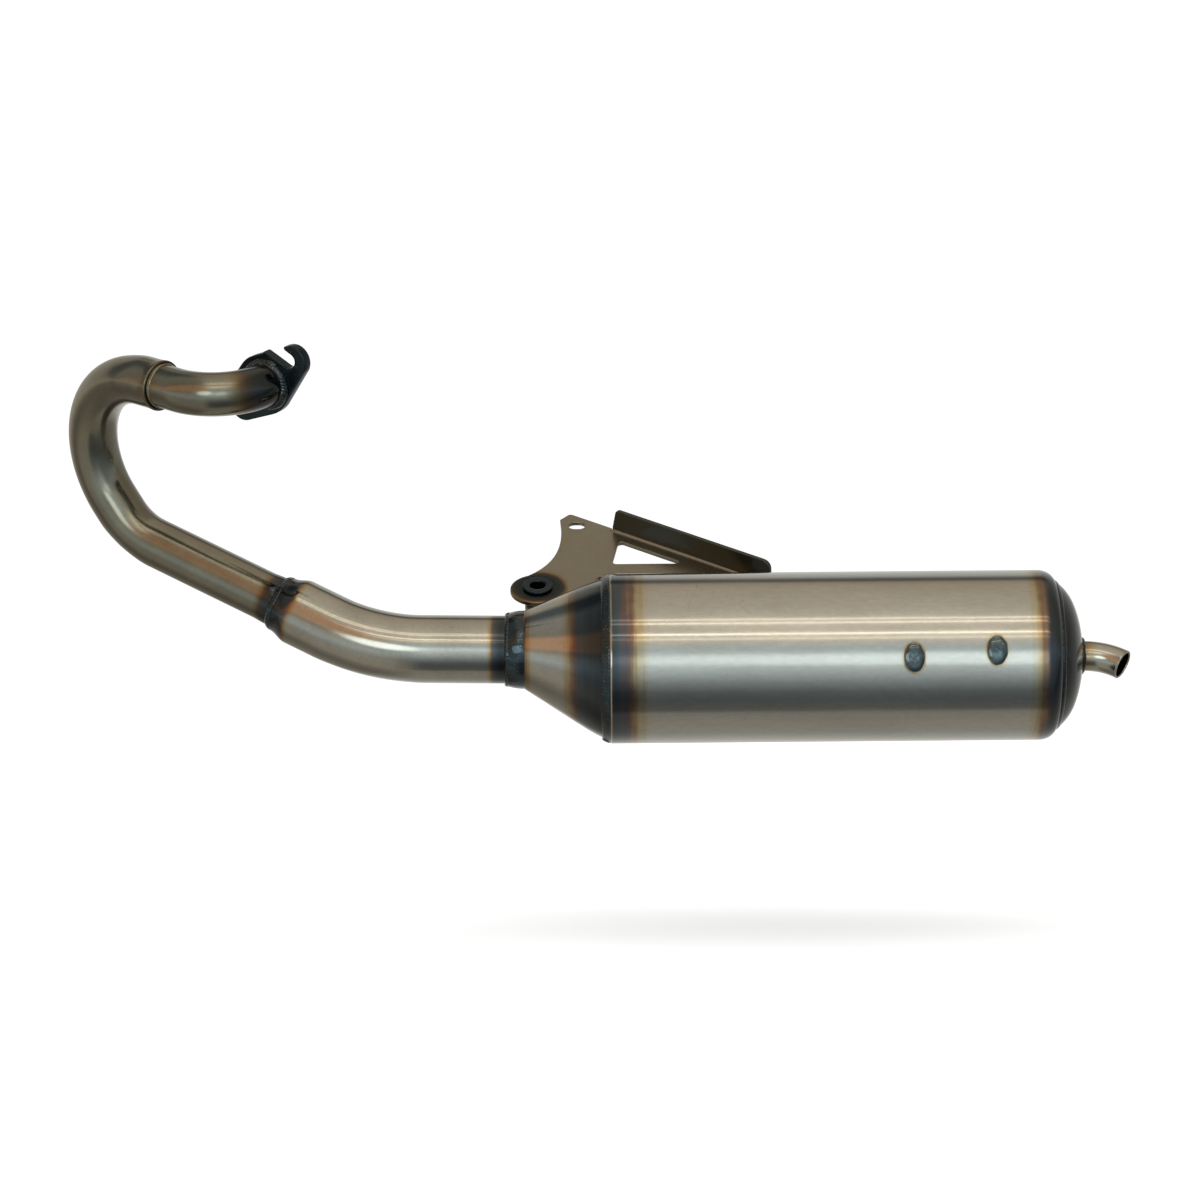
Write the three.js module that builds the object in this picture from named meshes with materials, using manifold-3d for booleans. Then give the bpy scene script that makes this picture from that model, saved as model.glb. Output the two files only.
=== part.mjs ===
/**
 * Racing exhaust system of a small two-stroke scooter engine.
 *
 * A bent header runs from the cylinder flange to a cylindrical silencer, which hangs on
 * a sheet steel bracket and ends in a short, angled tail pipe. Everything is welded, so
 * nothing moves. The silencer holds a reflector cone, a stinger tube, two partitions on
 * plug welds and two transfer tubes.
 *
 * Millimetres. The origin is the centre of the flange's gasket face. +X runs along the
 * silencer towards its tail, +Z is up and +Y points to the engine side.
 */
import * as THREE from 'three';
import { mergeVertices } from 'three/addons/utils/BufferGeometryUtils.js';
import Module from 'manifold-3d';

const wasm = await Module();
wasm.setup();

// ---------------------------------------------------------------- driving dimensions

const GAP = 0.3; // air left between welded neighbours, so that each stays its own solid
const TUBE_WALL = 1.5;
const SHEET = 1.2;
const FINE_SIDES = 36; // facets round the silencer
const TUBE_SIDES = 20; // facets round a pipe
const SMALL_SIDES = 16; // facets round a bush, a stinger or a tail pipe

const SILENCER_AXIS = new THREE.Vector3(0, 26.6, -163.3); // a point that its axis runs through
const SHELL = { radius: 50, start: 194.6, shoulder: 446, end: 455.5, endRadius: 44.2 };
const CONE = { start: 144.2, mouth: 190.4, mouthRadius: 47.9, lipEnd: 199, lipRadius: 48.4 };
const CONE_INLET = { radius: 23.2, lift: 5.6 }; // the small end sits above the silencer's axis
const CAP = { start: 450, rim: 459, end: 471.4 };

const PORT_DIRECTION = new THREE.Vector3(-24, -36, -15).normalize(); // out of the cylinder
const FRONT_PIPE = { radius: 12.7, start: 1.2, end: 88 };
const MIDDLE_PIPE = { radius: 14.6, start: 77.2, end: 341 };
const REAR_PIPE = { radius: 20, start: 336, neckRadius: 17, neckLength: 11 };
const TAIL_PIPE = { radius: 8.8, wall: 1.2, start: 438 };

// Corners of the header's centre line, each with the radius of its bend.
const HEADER_ROUTE = [
  { at: [0, 0, 0] },
  { at: [-24, -36, -15], radius: 33 },
  { at: [-159, 65, 27.5], radius: 53.7 },
  { at: [-89, 65, -86], radius: 53.7 },
  { at: [55.5, 26.6, -156.2], radius: 124 },
  { at: [152, 26.6, -157.8] },
];
const TAIL_ROUTE = [
  { at: [TAIL_PIPE.start, 26.6, -164.2] },
  { at: [485.2, 26.6, -164.2], radius: 36 },
  { at: [495.4, 21.1, -169.5] },
];

const FLANGE = { thickness: 6, bore: 13, studRadius: 23.2, slotWidth: 8.9, slotTravel: 3 };
const STUD_TILT = THREE.MathUtils.degToRad(-7.4); // stud line against the flange's long axis
const SLOT_TILT = THREE.MathUtils.degToRad(26); // the open slot's run against its short axis

const PLATE = { thickness: 2.5, pitch: THREE.MathUtils.degToRad(32), height: 23.5 };
const BUSH = { x: 152, up: 42.5, bore: 4.6, shank: 7.8, head: 9, headHeight: 1.6, length: 22 };
const BOLT_SLOT = { x: 175.2, up: 113.8, width: 10.2, height: 8 };
const FOLD = { x: 198.1, up: 109.4, length: 113, height: 15, turn: THREE.MathUtils.degToRad(-34.5) };

const PLUG = { radius: 6.4, length: 17.8, rise: 1.1, rearTurn: -0.075 };
const PARTITIONS = { front: 369.2, rear: 416.9, flange: 9 };
const REFLECTOR = { start: 292, lipEnd: 300, end: 352 };
const STINGER = { radius: 10.5, wall: 1.2, start: 346, end: 396 };
const TRANSFER = { radius: 8, wall: 1.2, offset: 24, start: 402, end: 434 };

// ------------------------------------------------------------------------- materials

const steelOf = (color, roughness) => new THREE.MeshStandardMaterial({ color, roughness, metalness: 0.9 });
const pipeSteel = steelOf(0x8f887a, 0.3);
const shellSteel = steelOf(0xa39d90, 0.28);
const scaledSteel = steelOf(0x3b444a, 0.45);
const bracketSteel = steelOf(0x8a8274, 0.5);
const weldMetal = steelOf(0x39464f, 0.35);
const innerSteel = steelOf(0x6f6c66, 0.5);

// --------------------------------------------------------------------- solid helpers

/** A closed three.js geometry as a manifold-3d solid. */
function solidOf(geometry) {
  const bare = geometry.clone();
  bare.deleteAttribute('normal');
  bare.deleteAttribute('uv');
  const merged = mergeVertices(bare, 1e-4);
  const vertProperties = Float32Array.from(merged.attributes.position.array);
  const triVerts = Uint32Array.from(merged.index.array);
  return new wasm.Manifold(new wasm.Mesh({ numProp: 3, vertProperties, triVerts }));
}

/** A manifold-3d solid as a three.js geometry. */
function geometryOf(solid) {
  const mesh = solid.getMesh();
  const geometry = new THREE.BufferGeometry();
  geometry.setAttribute('position', new THREE.BufferAttribute(Float32Array.from(mesh.vertProperties), 3));
  geometry.setIndex(Array.from(mesh.triVerts));
  return geometry;
}

/** `geometry` less every one of `cutters`. */
function cut(geometry, ...cutters) {
  let solid = solidOf(geometry);
  for (const cutter of cutters) {
    solid = solid.subtract(solidOf(cutter));
  }
  return geometryOf(solid);
}

/** `geometry` joined with every one of `others`. */
function join(geometry, ...others) {
  let solid = solidOf(geometry);
  for (const other of others) {
    solid = solid.add(solidOf(other));
  }
  return geometryOf(solid);
}

/** The volume inside a closed geometry, negative when its faces point inwards. */
function signedVolume(geometry) {
  const position = geometry.attributes.position;
  const index = geometry.index;
  const corners = index ? index.count : position.count;
  const [a, b, c] = [new THREE.Vector3(), new THREE.Vector3(), new THREE.Vector3()];
  let volume = 0;
  for (let i = 0; i < corners; i += 3) {
    [a, b, c].forEach((corner, k) => corner.fromBufferAttribute(position, index ? index.getX(i + k) : i + k));
    volume += a.dot(b.cross(c)) / 6;
  }
  return volume;
}

/** The same geometry with its faces pointing out. */
function facingOut(geometry) {
  if (signedVolume(geometry) >= 0) {
    return geometry;
  }
  const indexed = geometry.index ? geometry : mergeVertices(geometry);
  const order = indexed.index.array;
  for (let i = 0; i < order.length; i += 3) {
    [order[i], order[i + 1]] = [order[i + 1], order[i]];
  }
  return indexed;
}

/** A line of [along, radius] points that starts and ends on the X axis, turned about it. */
function solidOfTurning(line, sides) {
  const points = line.map(([along, radius]) => new THREE.Vector2(radius, along));
  return facingOut(new THREE.LatheGeometry(points, sides).rotateZ(-Math.PI / 2));
}

/** A ring about the X axis: a profile of [along, radius] points, closed on itself. */
function turned(profile, sides) {
  return solidOfTurning([...profile, profile[0]], sides);
}

/** A plain round bar about the X axis, as a cutter. */
function bar(radius, from, to, sides = SMALL_SIDES) {
  const line = [
    [from, 0],
    [from, radius],
    [to, radius],
    [to, 0],
  ];
  return solidOfTurning(line, sides);
}

/** A plain sleeve about the X axis. */
function sleeve({ radius, wall, start, end }) {
  const profile = [
    [start, radius],
    [end, radius],
    [end, radius - wall],
    [start, radius - wall],
  ];
  return turned(profile, SMALL_SIDES);
}

/** A flat outline extruded from z = `from` to z = `to`. */
function slab(shape, from, to, curveSegments = 10) {
  const settings = { depth: to - from, bevelEnabled: false, curveSegments };
  return new THREE.ExtrudeGeometry(shape, settings).translate(0, 0, from);
}

// ------------------------------------------------------------------------ bent pipes

/** The arc that rounds one corner of a route. */
class Bend extends THREE.Curve {
  constructor(before, corner, after, radius) {
    super();
    const back = before.clone().sub(corner).normalize();
    const ahead = after.clone().sub(corner).normalize();
    this.turn = Math.PI - back.angleTo(ahead);
    const setback = radius * Math.tan(this.turn / 2);
    this.start = corner.clone().addScaledVector(back, setback);
    this.end = corner.clone().addScaledVector(ahead, setback);
    const inward = back.clone().add(ahead).normalize();
    this.centre = corner.clone().addScaledVector(inward, radius / Math.cos(this.turn / 2));
    this.outward = this.start.clone().sub(this.centre);
    this.forward = back.clone().multiplyScalar(-radius);
  }

  getPoint(t, target = new THREE.Vector3()) {
    const angle = t * this.turn;
    target.copy(this.centre).addScaledVector(this.outward, Math.cos(angle));
    return target.addScaledVector(this.forward, Math.sin(angle));
  }
}

/** Straight legs joined by bends, as one path measured by its length. */
function pathThrough(route) {
  const corners = route.map(({ at }) => new THREE.Vector3(...at));
  const path = new THREE.CurvePath();
  let from = corners[0];
  for (let i = 1; i < corners.length - 1; i += 1) {
    const bend = new Bend(corners[i - 1], corners[i], corners[i + 1], route[i].radius);
    path.add(new THREE.LineCurve3(from, bend.start));
    path.add(bend);
    from = bend.end;
  }
  path.add(new THREE.LineCurve3(from, corners[corners.length - 1]));
  return path;
}

/** The part of a path between two lengths along it. */
class Stretch extends THREE.Curve {
  constructor(path, from, to) {
    super();
    this.path = path;
    this.from = from;
    this.to = to;
  }

  getPoint(t, target = new THREE.Vector3()) {
    const along = this.from + (this.to - this.from) * t;
    return this.path.getPoint(along / this.path.getLength(), target);
  }
}

/** An open-ended tube along a curve, with a facet ring every `step` millimetres. */
function tubeAlong(curve, radius, wall, sides, step) {
  const section = new THREE.Shape().absarc(0, 0, radius, 0, Math.PI * 2);
  section.holes.push(new THREE.Path().absarc(0, 0, radius - wall, 0, Math.PI * 2, true));
  const steps = Math.ceil(curve.getLength() / step);
  return facingOut(new THREE.ExtrudeGeometry(section, { extrudePath: curve, steps, curveSegments: sides / 2 }));
}

const headerPath = pathThrough(HEADER_ROUTE);
const tailPath = pathThrough(TAIL_ROUTE);

/** Place and direction on a path, as a matrix whose +X runs along the path. */
function frameOn(path, along) {
  const share = along / path.getLength();
  const direction = path.getTangent(share);
  const turn = new THREE.Quaternion().setFromUnitVectors(new THREE.Vector3(1, 0, 0), direction);
  return new THREE.Matrix4().compose(path.getPoint(share), turn, new THREE.Vector3(1, 1, 1));
}

/** A weld fillet round a pipe: `foot` is its reach along the pipe, `rise` its height. */
function weldRing(bore, foot, rise, sides) {
  const inner = bore + GAP;
  const profile = [
    [0, inner],
    [0, inner + rise],
    [foot * 0.3, inner + rise * 0.93],
    [foot * 0.7, inner + rise * 0.55],
    [foot, inner + rise * 0.15],
    [foot, inner],
  ];
  return turned(profile, sides);
}

// ------------------------------------------------------------------- cylinder flange

// The flange's own frame: x and y in its gasket face, z out of the cylinder.
const flangeAcross = new THREE.Vector3(0, 1, 0).cross(PORT_DIRECTION).normalize().negate();
const flangeAlong = PORT_DIRECTION.clone().cross(flangeAcross);
const flangeFrame = new THREE.Matrix4().makeBasis(flangeAcross, flangeAlong, PORT_DIRECTION);

/** The convex outline round a set of circles, given as [x, y, radius]. */
function outlineAround(circles, segments) {
  const points = [];
  for (const [x, y, radius] of circles) {
    for (let i = 0; i < segments; i += 1) {
      const angle = (i / segments) * Math.PI * 2;
      points.push(new THREE.Vector2(x + radius * Math.cos(angle), y + radius * Math.sin(angle)));
    }
  }
  points.sort((p, q) => p.x - q.x || p.y - q.y);
  const turnsLeft = (p, q, r) => (q.x - p.x) * (r.y - p.y) - (q.y - p.y) * (r.x - p.x) > 1e-9;
  const chain = (ordered) => {
    const kept = [];
    for (const point of ordered) {
      while (kept.length > 1 && !turnsLeft(kept[kept.length - 2], kept[kept.length - 1], point)) {
        kept.pop();
      }
      kept.push(point);
    }
    return kept.slice(0, -1);
  };
  return new THREE.Shape([...chain(points), ...chain([...points].reverse())]);
}

/** A slot's outline: a bar of `width` between two points, with round ends. */
function slotOutline(fromX, fromY, toX, toY, width) {
  const ends = [
    [fromX, fromY, width / 2],
    [toX, toY, width / 2],
  ];
  return outlineAround(ends, 24);
}

function cylinderFlange() {
  const studX = FLANGE.studRadius * Math.sin(STUD_TILT);
  const studY = FLANGE.studRadius * Math.cos(STUD_TILT);
  const outline = outlineAround(
    [
      [-0.8, -3.2, 18],
      [studX + 1.8, studY + 1.4, 9.8],
      [-studX - 1.8, -studY - 0.8, 9.8],
      [-studX - 8, -studY + 3, 9.8],
    ],
    36,
  );
  const plate = slab(outline, 0, FLANGE.thickness);
  const openEnd = 30; // how far the open slot's cutter runs past the plate's edge
  const slotX = studX - openEnd * Math.cos(SLOT_TILT);
  const slotY = studY - openEnd * Math.sin(SLOT_TILT);
  const openSlot = slab(slotOutline(studX, studY, slotX, slotY, FLANGE.slotWidth), -1, FLANGE.thickness + 1);
  const closedSlot = slab(
    slotOutline(-studX - FLANGE.slotTravel, -studY, -studX, -studY, FLANGE.slotWidth),
    -1,
    FLANGE.thickness + 1,
  );
  const bore = bar(FLANGE.bore, -1, FLANGE.thickness + 1, TUBE_SIDES).rotateY(-Math.PI / 2);
  return cut(plate, openSlot, closedSlot, bore).applyMatrix4(flangeFrame);
}

function flangeWeld() {
  const ring = weldRing(FRONT_PIPE.radius, 4, 4.2, TUBE_SIDES);
  return ring.applyMatrix4(frameOn(headerPath, FLANGE.thickness + GAP));
}

// ---------------------------------------------------------------------------- header

function frontPipe() {
  const run = new Stretch(headerPath, FRONT_PIPE.start, FRONT_PIPE.end);
  return tubeAlong(run, FRONT_PIPE.radius, TUBE_WALL, TUBE_SIDES, 6.5);
}

/** The U bend, whose mouth takes the front pipe as a slip fit. */
function middlePipe() {
  const run = new Stretch(headerPath, MIDDLE_PIPE.start, MIDDLE_PIPE.end);
  return tubeAlong(run, MIDDLE_PIPE.radius, TUBE_WALL, TUBE_SIDES, 12);
}

/** A thin bead that closes the mouth of the slip joint. */
function slipJointWeld() {
  const ring = weldRing(FRONT_PIPE.radius, 2.6, 1.7, TUBE_SIDES);
  return ring.rotateY(Math.PI).applyMatrix4(frameOn(headerPath, MIDDLE_PIPE.start - GAP));
}

function middleWeld() {
  const ring = weldRing(MIDDLE_PIPE.radius, 4, 2.8, TUBE_SIDES);
  return ring.rotateY(Math.PI).applyMatrix4(frameOn(headerPath, REAR_PIPE.start - GAP));
}

/** The wide pipe into the silencer, swaged down at the end that takes the U bend. */
function rearPipe() {
  const { radius, start, neckRadius, neckLength } = REAR_PIPE;
  const run = new Stretch(headerPath, start + neckLength, headerPath.getLength());
  const tube = tubeAlong(run, radius, TUBE_WALL, TUBE_SIDES, 12);
  const spigot = 1.2; // the neck's tongue inside the tube's own wall, which joins the two
  const neck = turned(
    [
      [0, neckRadius],
      [2.5, neckRadius + 0.4],
      [6.5, radius - 0.9],
      [neckLength, radius - 0.2],
      [neckLength + spigot, radius - 0.4],
      [neckLength + spigot, radius - 1.1],
      [neckLength, radius - TUBE_WALL + 0.1],
      [6.5, radius - 0.9 - TUBE_WALL],
      [2.5, neckRadius + 0.4 - TUBE_WALL],
      [0, neckRadius - TUBE_WALL],
    ],
    TUBE_SIDES,
  );
  return join(tube, neck.applyMatrix4(frameOn(headerPath, start)));
}

/** The fillet where the rear pipe enters the silencer's cone. */
function inletWeld() {
  const ring = weldRing(REAR_PIPE.radius, 11, CONE_INLET.radius - REAR_PIPE.radius, TUBE_SIDES);
  const pipeEnd = HEADER_ROUTE[HEADER_ROUTE.length - 1].at[0];
  const along = headerPath.getLength() - (pipeEnd - CONE.start) - GAP * 3;
  return ring.rotateY(Math.PI).applyMatrix4(frameOn(headerPath, along));
}

// -------------------------------------------------------------------------- silencer

/** Moves a part that was turned about the X axis onto the silencer's axis. */
const onAxis = (geometry) => geometry.translate(SILENCER_AXIS.x, SILENCER_AXIS.y, SILENCER_AXIS.z);

/** Lifts the cone's small end above the axis and leaves its mouth where it is. */
function withLiftedInlet(geometry) {
  const slope = CONE_INLET.lift / (CONE.mouth - CONE.start);
  const position = geometry.attributes.position;
  for (let i = 0; i < position.count; i += 1) {
    const short = Math.max(0, CONE.mouth - position.getX(i));
    position.setZ(i, position.getZ(i) + slope * short);
  }
  return geometry;
}

/** The cone's wall from the inside radius up: `skin` is added to its outer face. */
function coneProfile(skin = 0) {
  return [
    [CONE.start, CONE_INLET.radius + skin],
    [CONE.start + 2, CONE_INLET.radius + 0.5 + skin],
    [CONE.mouth, CONE.mouthRadius + skin],
    [CONE.mouth + 1.2, CONE.lipRadius + skin],
    [CONE.lipEnd, CONE.lipRadius + skin],
  ];
}

function inletCone() {
  const outside = coneProfile();
  const inletBore = REAR_PIPE.radius + GAP;
  const inside = [
    [CONE.lipEnd, CONE.lipRadius - SHEET],
    [CONE.mouth + 1.2, CONE.lipRadius - SHEET],
    [CONE.mouth + 0.6, CONE.mouthRadius - SHEET],
    [CONE.start + 2.6, CONE_INLET.radius + 0.5 - SHEET],
    [CONE.start + 0.4, inletBore],
    [CONE.start, inletBore],
  ];
  return onAxis(withLiftedInlet(turned([...outside, ...inside], FINE_SIDES)));
}

/** The bead that fills the corner between the cone and the shell's front edge. */
function coneWeld() {
  const front = CONE.mouth - 0.6;
  const bead = turned(
    [
      [front, CONE.mouthRadius + GAP],
      [front + 0.8, CONE.mouthRadius + 1.7],
      [front + 2.2, SHELL.radius + 0.4],
      [front + 3.6, SHELL.radius + 0.4],
      [SHELL.start - GAP, SHELL.radius - 0.2],
      [SHELL.start - GAP, CONE.lipRadius + GAP],
      [CONE.mouth + 1.2, CONE.lipRadius + GAP],
    ],
    FINE_SIDES,
  );
  return onAxis(bead);
}

function silencerShell() {
  const { radius, start, shoulder, end, endRadius } = SHELL;
  const outside = [
    [start, radius],
    [shoulder, radius],
    [shoulder + 3.4, radius - 0.8],
    [shoulder + 6.4, radius - 2.6],
    [end, endRadius],
  ];
  const inside = [
    [end - 0.8, endRadius - 1],
    [shoulder + 5.6, radius - 2.6 - SHEET],
    [shoulder + 3, radius - 0.8 - SHEET],
    [shoulder, radius - SHEET],
    [start, radius - SHEET],
  ];
  return onAxis(turned([...outside, ...inside], FINE_SIDES));
}

function capWeld() {
  const front = SHELL.end + GAP;
  const bead = turned(
    [
      [front, SHELL.endRadius - 1],
      [front, SHELL.endRadius + 0.2],
      [front + 1.2, SHELL.endRadius + 0.1],
      [front + 2.6, SHELL.endRadius - 1.4],
      [front + 3, SHELL.endRadius - 2.8],
      [front + 1, SHELL.endRadius - 1.6],
    ],
    FINE_SIDES,
  );
  return onAxis(bead);
}

/** The domed end cap, whose lip slides into the shell's rolled-in end. */
function endCap() {
  const lip = SHELL.endRadius - 1.6;
  const bore = TAIL_PIPE.radius + GAP;
  const outside = [
    [CAP.start, lip],
    [CAP.rim - 2.6, lip],
    [CAP.rim, lip - 1.4],
    [CAP.rim + 3.4, 37],
    [CAP.rim + 6.4, 33],
    [CAP.rim + 9.2, 26.5],
    [CAP.rim + 11.4, 18],
    [CAP.end, 12],
    [CAP.end, bore],
  ];
  const inside = [
    [CAP.end - SHEET, bore],
    [CAP.end - SHEET, 12],
    [CAP.rim + 10.2, 17.6],
    [CAP.rim + 8.2, 25.6],
    [CAP.rim + 5.6, 32],
    [CAP.rim + 2.6, 36],
    [CAP.rim - 1, lip - 2.2],
    [CAP.rim - 3.2, lip - SHEET],
    [CAP.start, lip - SHEET],
  ];
  const cap = onAxis(turned([...outside, ...inside], FINE_SIDES));
  const entry = bar(bore, CAP.rim, CAP.end + 1).translate(0, SILENCER_AXIS.y, TAIL_ROUTE[0].at[2]);
  return cut(cap, entry);
}

function tailPipe() {
  const run = new Stretch(tailPath, 0, tailPath.getLength());
  return tubeAlong(run, TAIL_PIPE.radius, TAIL_PIPE.wall, SMALL_SIDES, 4.2);
}

function tailWeld() {
  const ring = weldRing(TAIL_PIPE.radius, 1.8, 2.2, SMALL_SIDES);
  return ring.applyMatrix4(frameOn(tailPath, CAP.end + GAP - TAIL_PIPE.start));
}

// --------------------------------------------------------------- inside the silencer

/** Takes the gas from full bore down to the stinger. */
function reflectorCone() {
  const wide = SHELL.radius - SHEET - GAP;
  const narrow = STINGER.radius + GAP;
  const { start, lipEnd, end } = REFLECTOR;
  const profile = [
    [start, wide],
    [lipEnd, wide],
    [end, narrow + SHEET],
    [end, narrow],
    [lipEnd, wide - SHEET],
    [start, wide - SHEET],
  ];
  return onAxis(turned(profile, FINE_SIDES));
}

/** A flanged partition disc, held to the shell by its plug welds. */
function partition(centre, holes) {
  const rim = SHELL.radius - SHEET - GAP;
  const face = centre - PARTITIONS.flange / 2;
  const line = [
    [face, 0],
    [face, rim],
    [face + PARTITIONS.flange, rim],
    [face + PARTITIONS.flange, rim - SHEET],
    [face + SHEET, rim - SHEET],
    [face + SHEET, 0],
  ];
  const disc = solidOfTurning(line, FINE_SIDES);
  const cutters = holes.map(([up, radius]) => bar(radius, face - 1, face + SHEET + 1).translate(0, 0, up));
  return onAxis(cut(disc, ...cutters));
}

/** An oval plug weld that stands proud of the shell at `turn` about the silencer's axis. */
function plugWeld(x, turn) {
  const oval = new THREE.Shape().absellipse(0, 0, PLUG.radius, PLUG.length / 2, 0, Math.PI * 2);
  const plug = slab(oval, SHELL.radius - 1, SHELL.radius + PLUG.rise, 12);
  const shell = bar(SHELL.radius + GAP, -PLUG.length, PLUG.length, FINE_SIDES * 2);
  return onAxis(cut(plug, shell).rotateX(turn).translate(x, 0, 0));
}

// --------------------------------------------------------------------------- bracket

// The bracket's own frame: x along the silencer, y up its slope, z out of its top face.
const bracketFrame = new THREE.Matrix4()
  .makeTranslation(SILENCER_AXIS)
  .multiply(new THREE.Matrix4().makeRotationX(PLATE.pitch))
  .multiply(new THREE.Matrix4().makeTranslation(0, 0, PLATE.height));

/** The plate's outline from the bush's lobe, up the hollow side and down the fold line. */
function plateOutline() {
  const lobe = { x: 151.5, up: 41, radius: 15.8 }; // round the bush
  const foldEndX = FOLD.x + FOLD.length * Math.cos(FOLD.turn);
  const foldEndY = FOLD.up + FOLD.length * Math.sin(FOLD.turn);
  const shape = new THREE.Shape();
  shape.moveTo(foldEndX, 30);
  shape.lineTo(foldEndX, foldEndY);
  shape.lineTo(171, 128);
  shape.lineTo(164.9, 121);
  shape.bezierCurveTo(167, 97, 166, 72, 146.1, 55.9);
  shape.absarc(lobe.x, lobe.up, lobe.radius, THREE.MathUtils.degToRad(110), Math.PI * 1.5);
  return shape;
}

/** The triangular lightening window, with its three corners rounded. */
function windowOutline() {
  const corner = 2.6;
  const corners = [
    [199.4, 71, corner],
    [202.6, 91.2, corner],
    [235, 70, 1.6],
  ];
  return outlineAround(corners, 16);
}

/** The notch that lets the plate pass over the weld round the shell's front edge. */
function reliefOutline() {
  return slotOutline(191.2, 30, 191.2, 54.4, 9.4);
}

function bracketPlate() {
  const through = [-PLATE.thickness - 1, 1];
  const plate = slab(plateOutline(), -PLATE.thickness, 0, 8);
  const flange = new THREE.Shape();
  const corner = 6;
  flange.moveTo(0, -PLATE.thickness);
  flange.lineTo(FOLD.length, -PLATE.thickness);
  flange.lineTo(FOLD.length, FOLD.height - corner);
  flange.quadraticCurveTo(FOLD.length, FOLD.height, FOLD.length - corner, FOLD.height);
  flange.lineTo(4, FOLD.height);
  flange.quadraticCurveTo(2.4, FOLD.height, 2.2, FOLD.height - 2);
  const stood = slab(flange, 0, PLATE.thickness, 4).rotateX(Math.PI / 2).rotateZ(FOLD.turn);
  const folded = join(plate, stood.translate(FOLD.x, FOLD.up, 0));
  const bushHole = new THREE.Shape().absarc(BUSH.x, BUSH.up, BUSH.shank + GAP, 0, Math.PI * 2);
  const boltSpread = (BOLT_SLOT.width - BOLT_SLOT.height) / 2;
  const boltHole = slotOutline(
    BOLT_SLOT.x - boltSpread,
    BOLT_SLOT.up,
    BOLT_SLOT.x + boltSpread,
    BOLT_SLOT.up,
    BOLT_SLOT.height,
  );
  const holes = [bushHole, boltHole, windowOutline(), reliefOutline()];
  const cutters = holes.map((outline) => slab(outline, ...through, 12));
  const placed = cut(folded, ...cutters).applyMatrix4(bracketFrame);
  return cut(placed, ...silencerSkins());
}

/** The silencer's outside grown by the welding gap, as solid cutters. */
function silencerSkins() {
  const shell = bar(SHELL.radius + GAP, CONE.mouth, SHELL.end, FINE_SIDES);
  const skin = coneProfile(GAP / Math.cos(Math.PI / 4)); // the cone leans by less than 45 degrees
  const cone = solidOfTurning([[CONE.start, 0], ...skin, [CONE.lipEnd, 0]], FINE_SIDES);
  return [onAxis(shell), onAxis(withLiftedInlet(cone))];
}

/** The stepped bush: its head rests on the plate and its shank passes through. */
function bracketBush() {
  const under = -BUSH.length;
  const profile = [
    [under, BUSH.shank],
    [GAP, BUSH.shank],
    [GAP, BUSH.head],
    [BUSH.headHeight, BUSH.head],
    [BUSH.headHeight, BUSH.bore],
    [under, BUSH.bore],
  ];
  const bush = turned(profile, SMALL_SIDES).rotateY(-Math.PI / 2);
  return bush.translate(BUSH.x, BUSH.up, 0).applyMatrix4(bracketFrame);
}

/** A fillet along the shell where the plate's lower edge lands on it. */
function bracketWeld(from, to) {
  const landing = Math.sqrt(SHELL.radius ** 2 - PLATE.height ** 2);
  const foot = 4;
  const fillet = new THREE.Shape();
  fillet.moveTo(0, 0);
  fillet.lineTo(-foot, 2.5);
  fillet.lineTo(-foot * 0.5, 3.2);
  fillet.lineTo(foot * 0.4, foot);
  fillet.lineTo(foot * 0.5, 0);
  const bead = slab(fillet, from, to, 2).rotateX(Math.PI / 2).rotateZ(Math.PI / 2);
  const placed = bead.translate(0, landing, GAP).applyMatrix4(bracketFrame);
  return cut(placed, onAxis(bar(SHELL.radius + GAP, from - 5, to + 5, FINE_SIDES)));
}

// -------------------------------------------------------------------------- assembly

const exhaust = new THREE.Group();
exhaust.name = 'racing_exhaust';

/** Adds one named piece to the exhaust. */
function add(name, geometry, material) {
  const mesh = new THREE.Mesh(geometry, material);
  mesh.name = name;
  exhaust.add(mesh);
}

add('cylinder_flange', cylinderFlange(), scaledSteel);
add('flange_weld', flangeWeld(), weldMetal);
add('front_pipe', frontPipe(), pipeSteel);
add('slip_joint_weld', slipJointWeld(), weldMetal);
add('middle_pipe', middlePipe(), pipeSteel);
add('middle_weld', middleWeld(), weldMetal);
add('rear_pipe', rearPipe(), pipeSteel);
add('inlet_weld', inletWeld(), weldMetal);
add('inlet_cone', inletCone(), shellSteel);
add('cone_weld', coneWeld(), weldMetal);
add('silencer_shell', silencerShell(), shellSteel);
add('cap_weld', capWeld(), weldMetal);
add('end_cap', endCap(), shellSteel);
add('tail_weld', tailWeld(), weldMetal);
add('tail_pipe', tailPipe(), pipeSteel);

add('bracket_plate', bracketPlate(), bracketSteel);
add('bracket_bush', bracketBush(), scaledSteel);
[
  [204, 226],
  [240, 262],
].forEach(([from, to], i) => add(`bracket_weld_${i + 1}`, bracketWeld(from, to), weldMetal));

const thirdOfTurn = (Math.PI * 2) / 3;
const facingFront = Math.PI / 2;
for (let i = 0; i < 3; i += 1) {
  const turn = facingFront + i * thirdOfTurn;
  add(`front_plug_weld_${i + 1}`, plugWeld(PARTITIONS.front, turn), weldMetal);
  add(`rear_plug_weld_${i + 1}`, plugWeld(PARTITIONS.rear, turn + PLUG.rearTurn), weldMetal);
}

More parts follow.
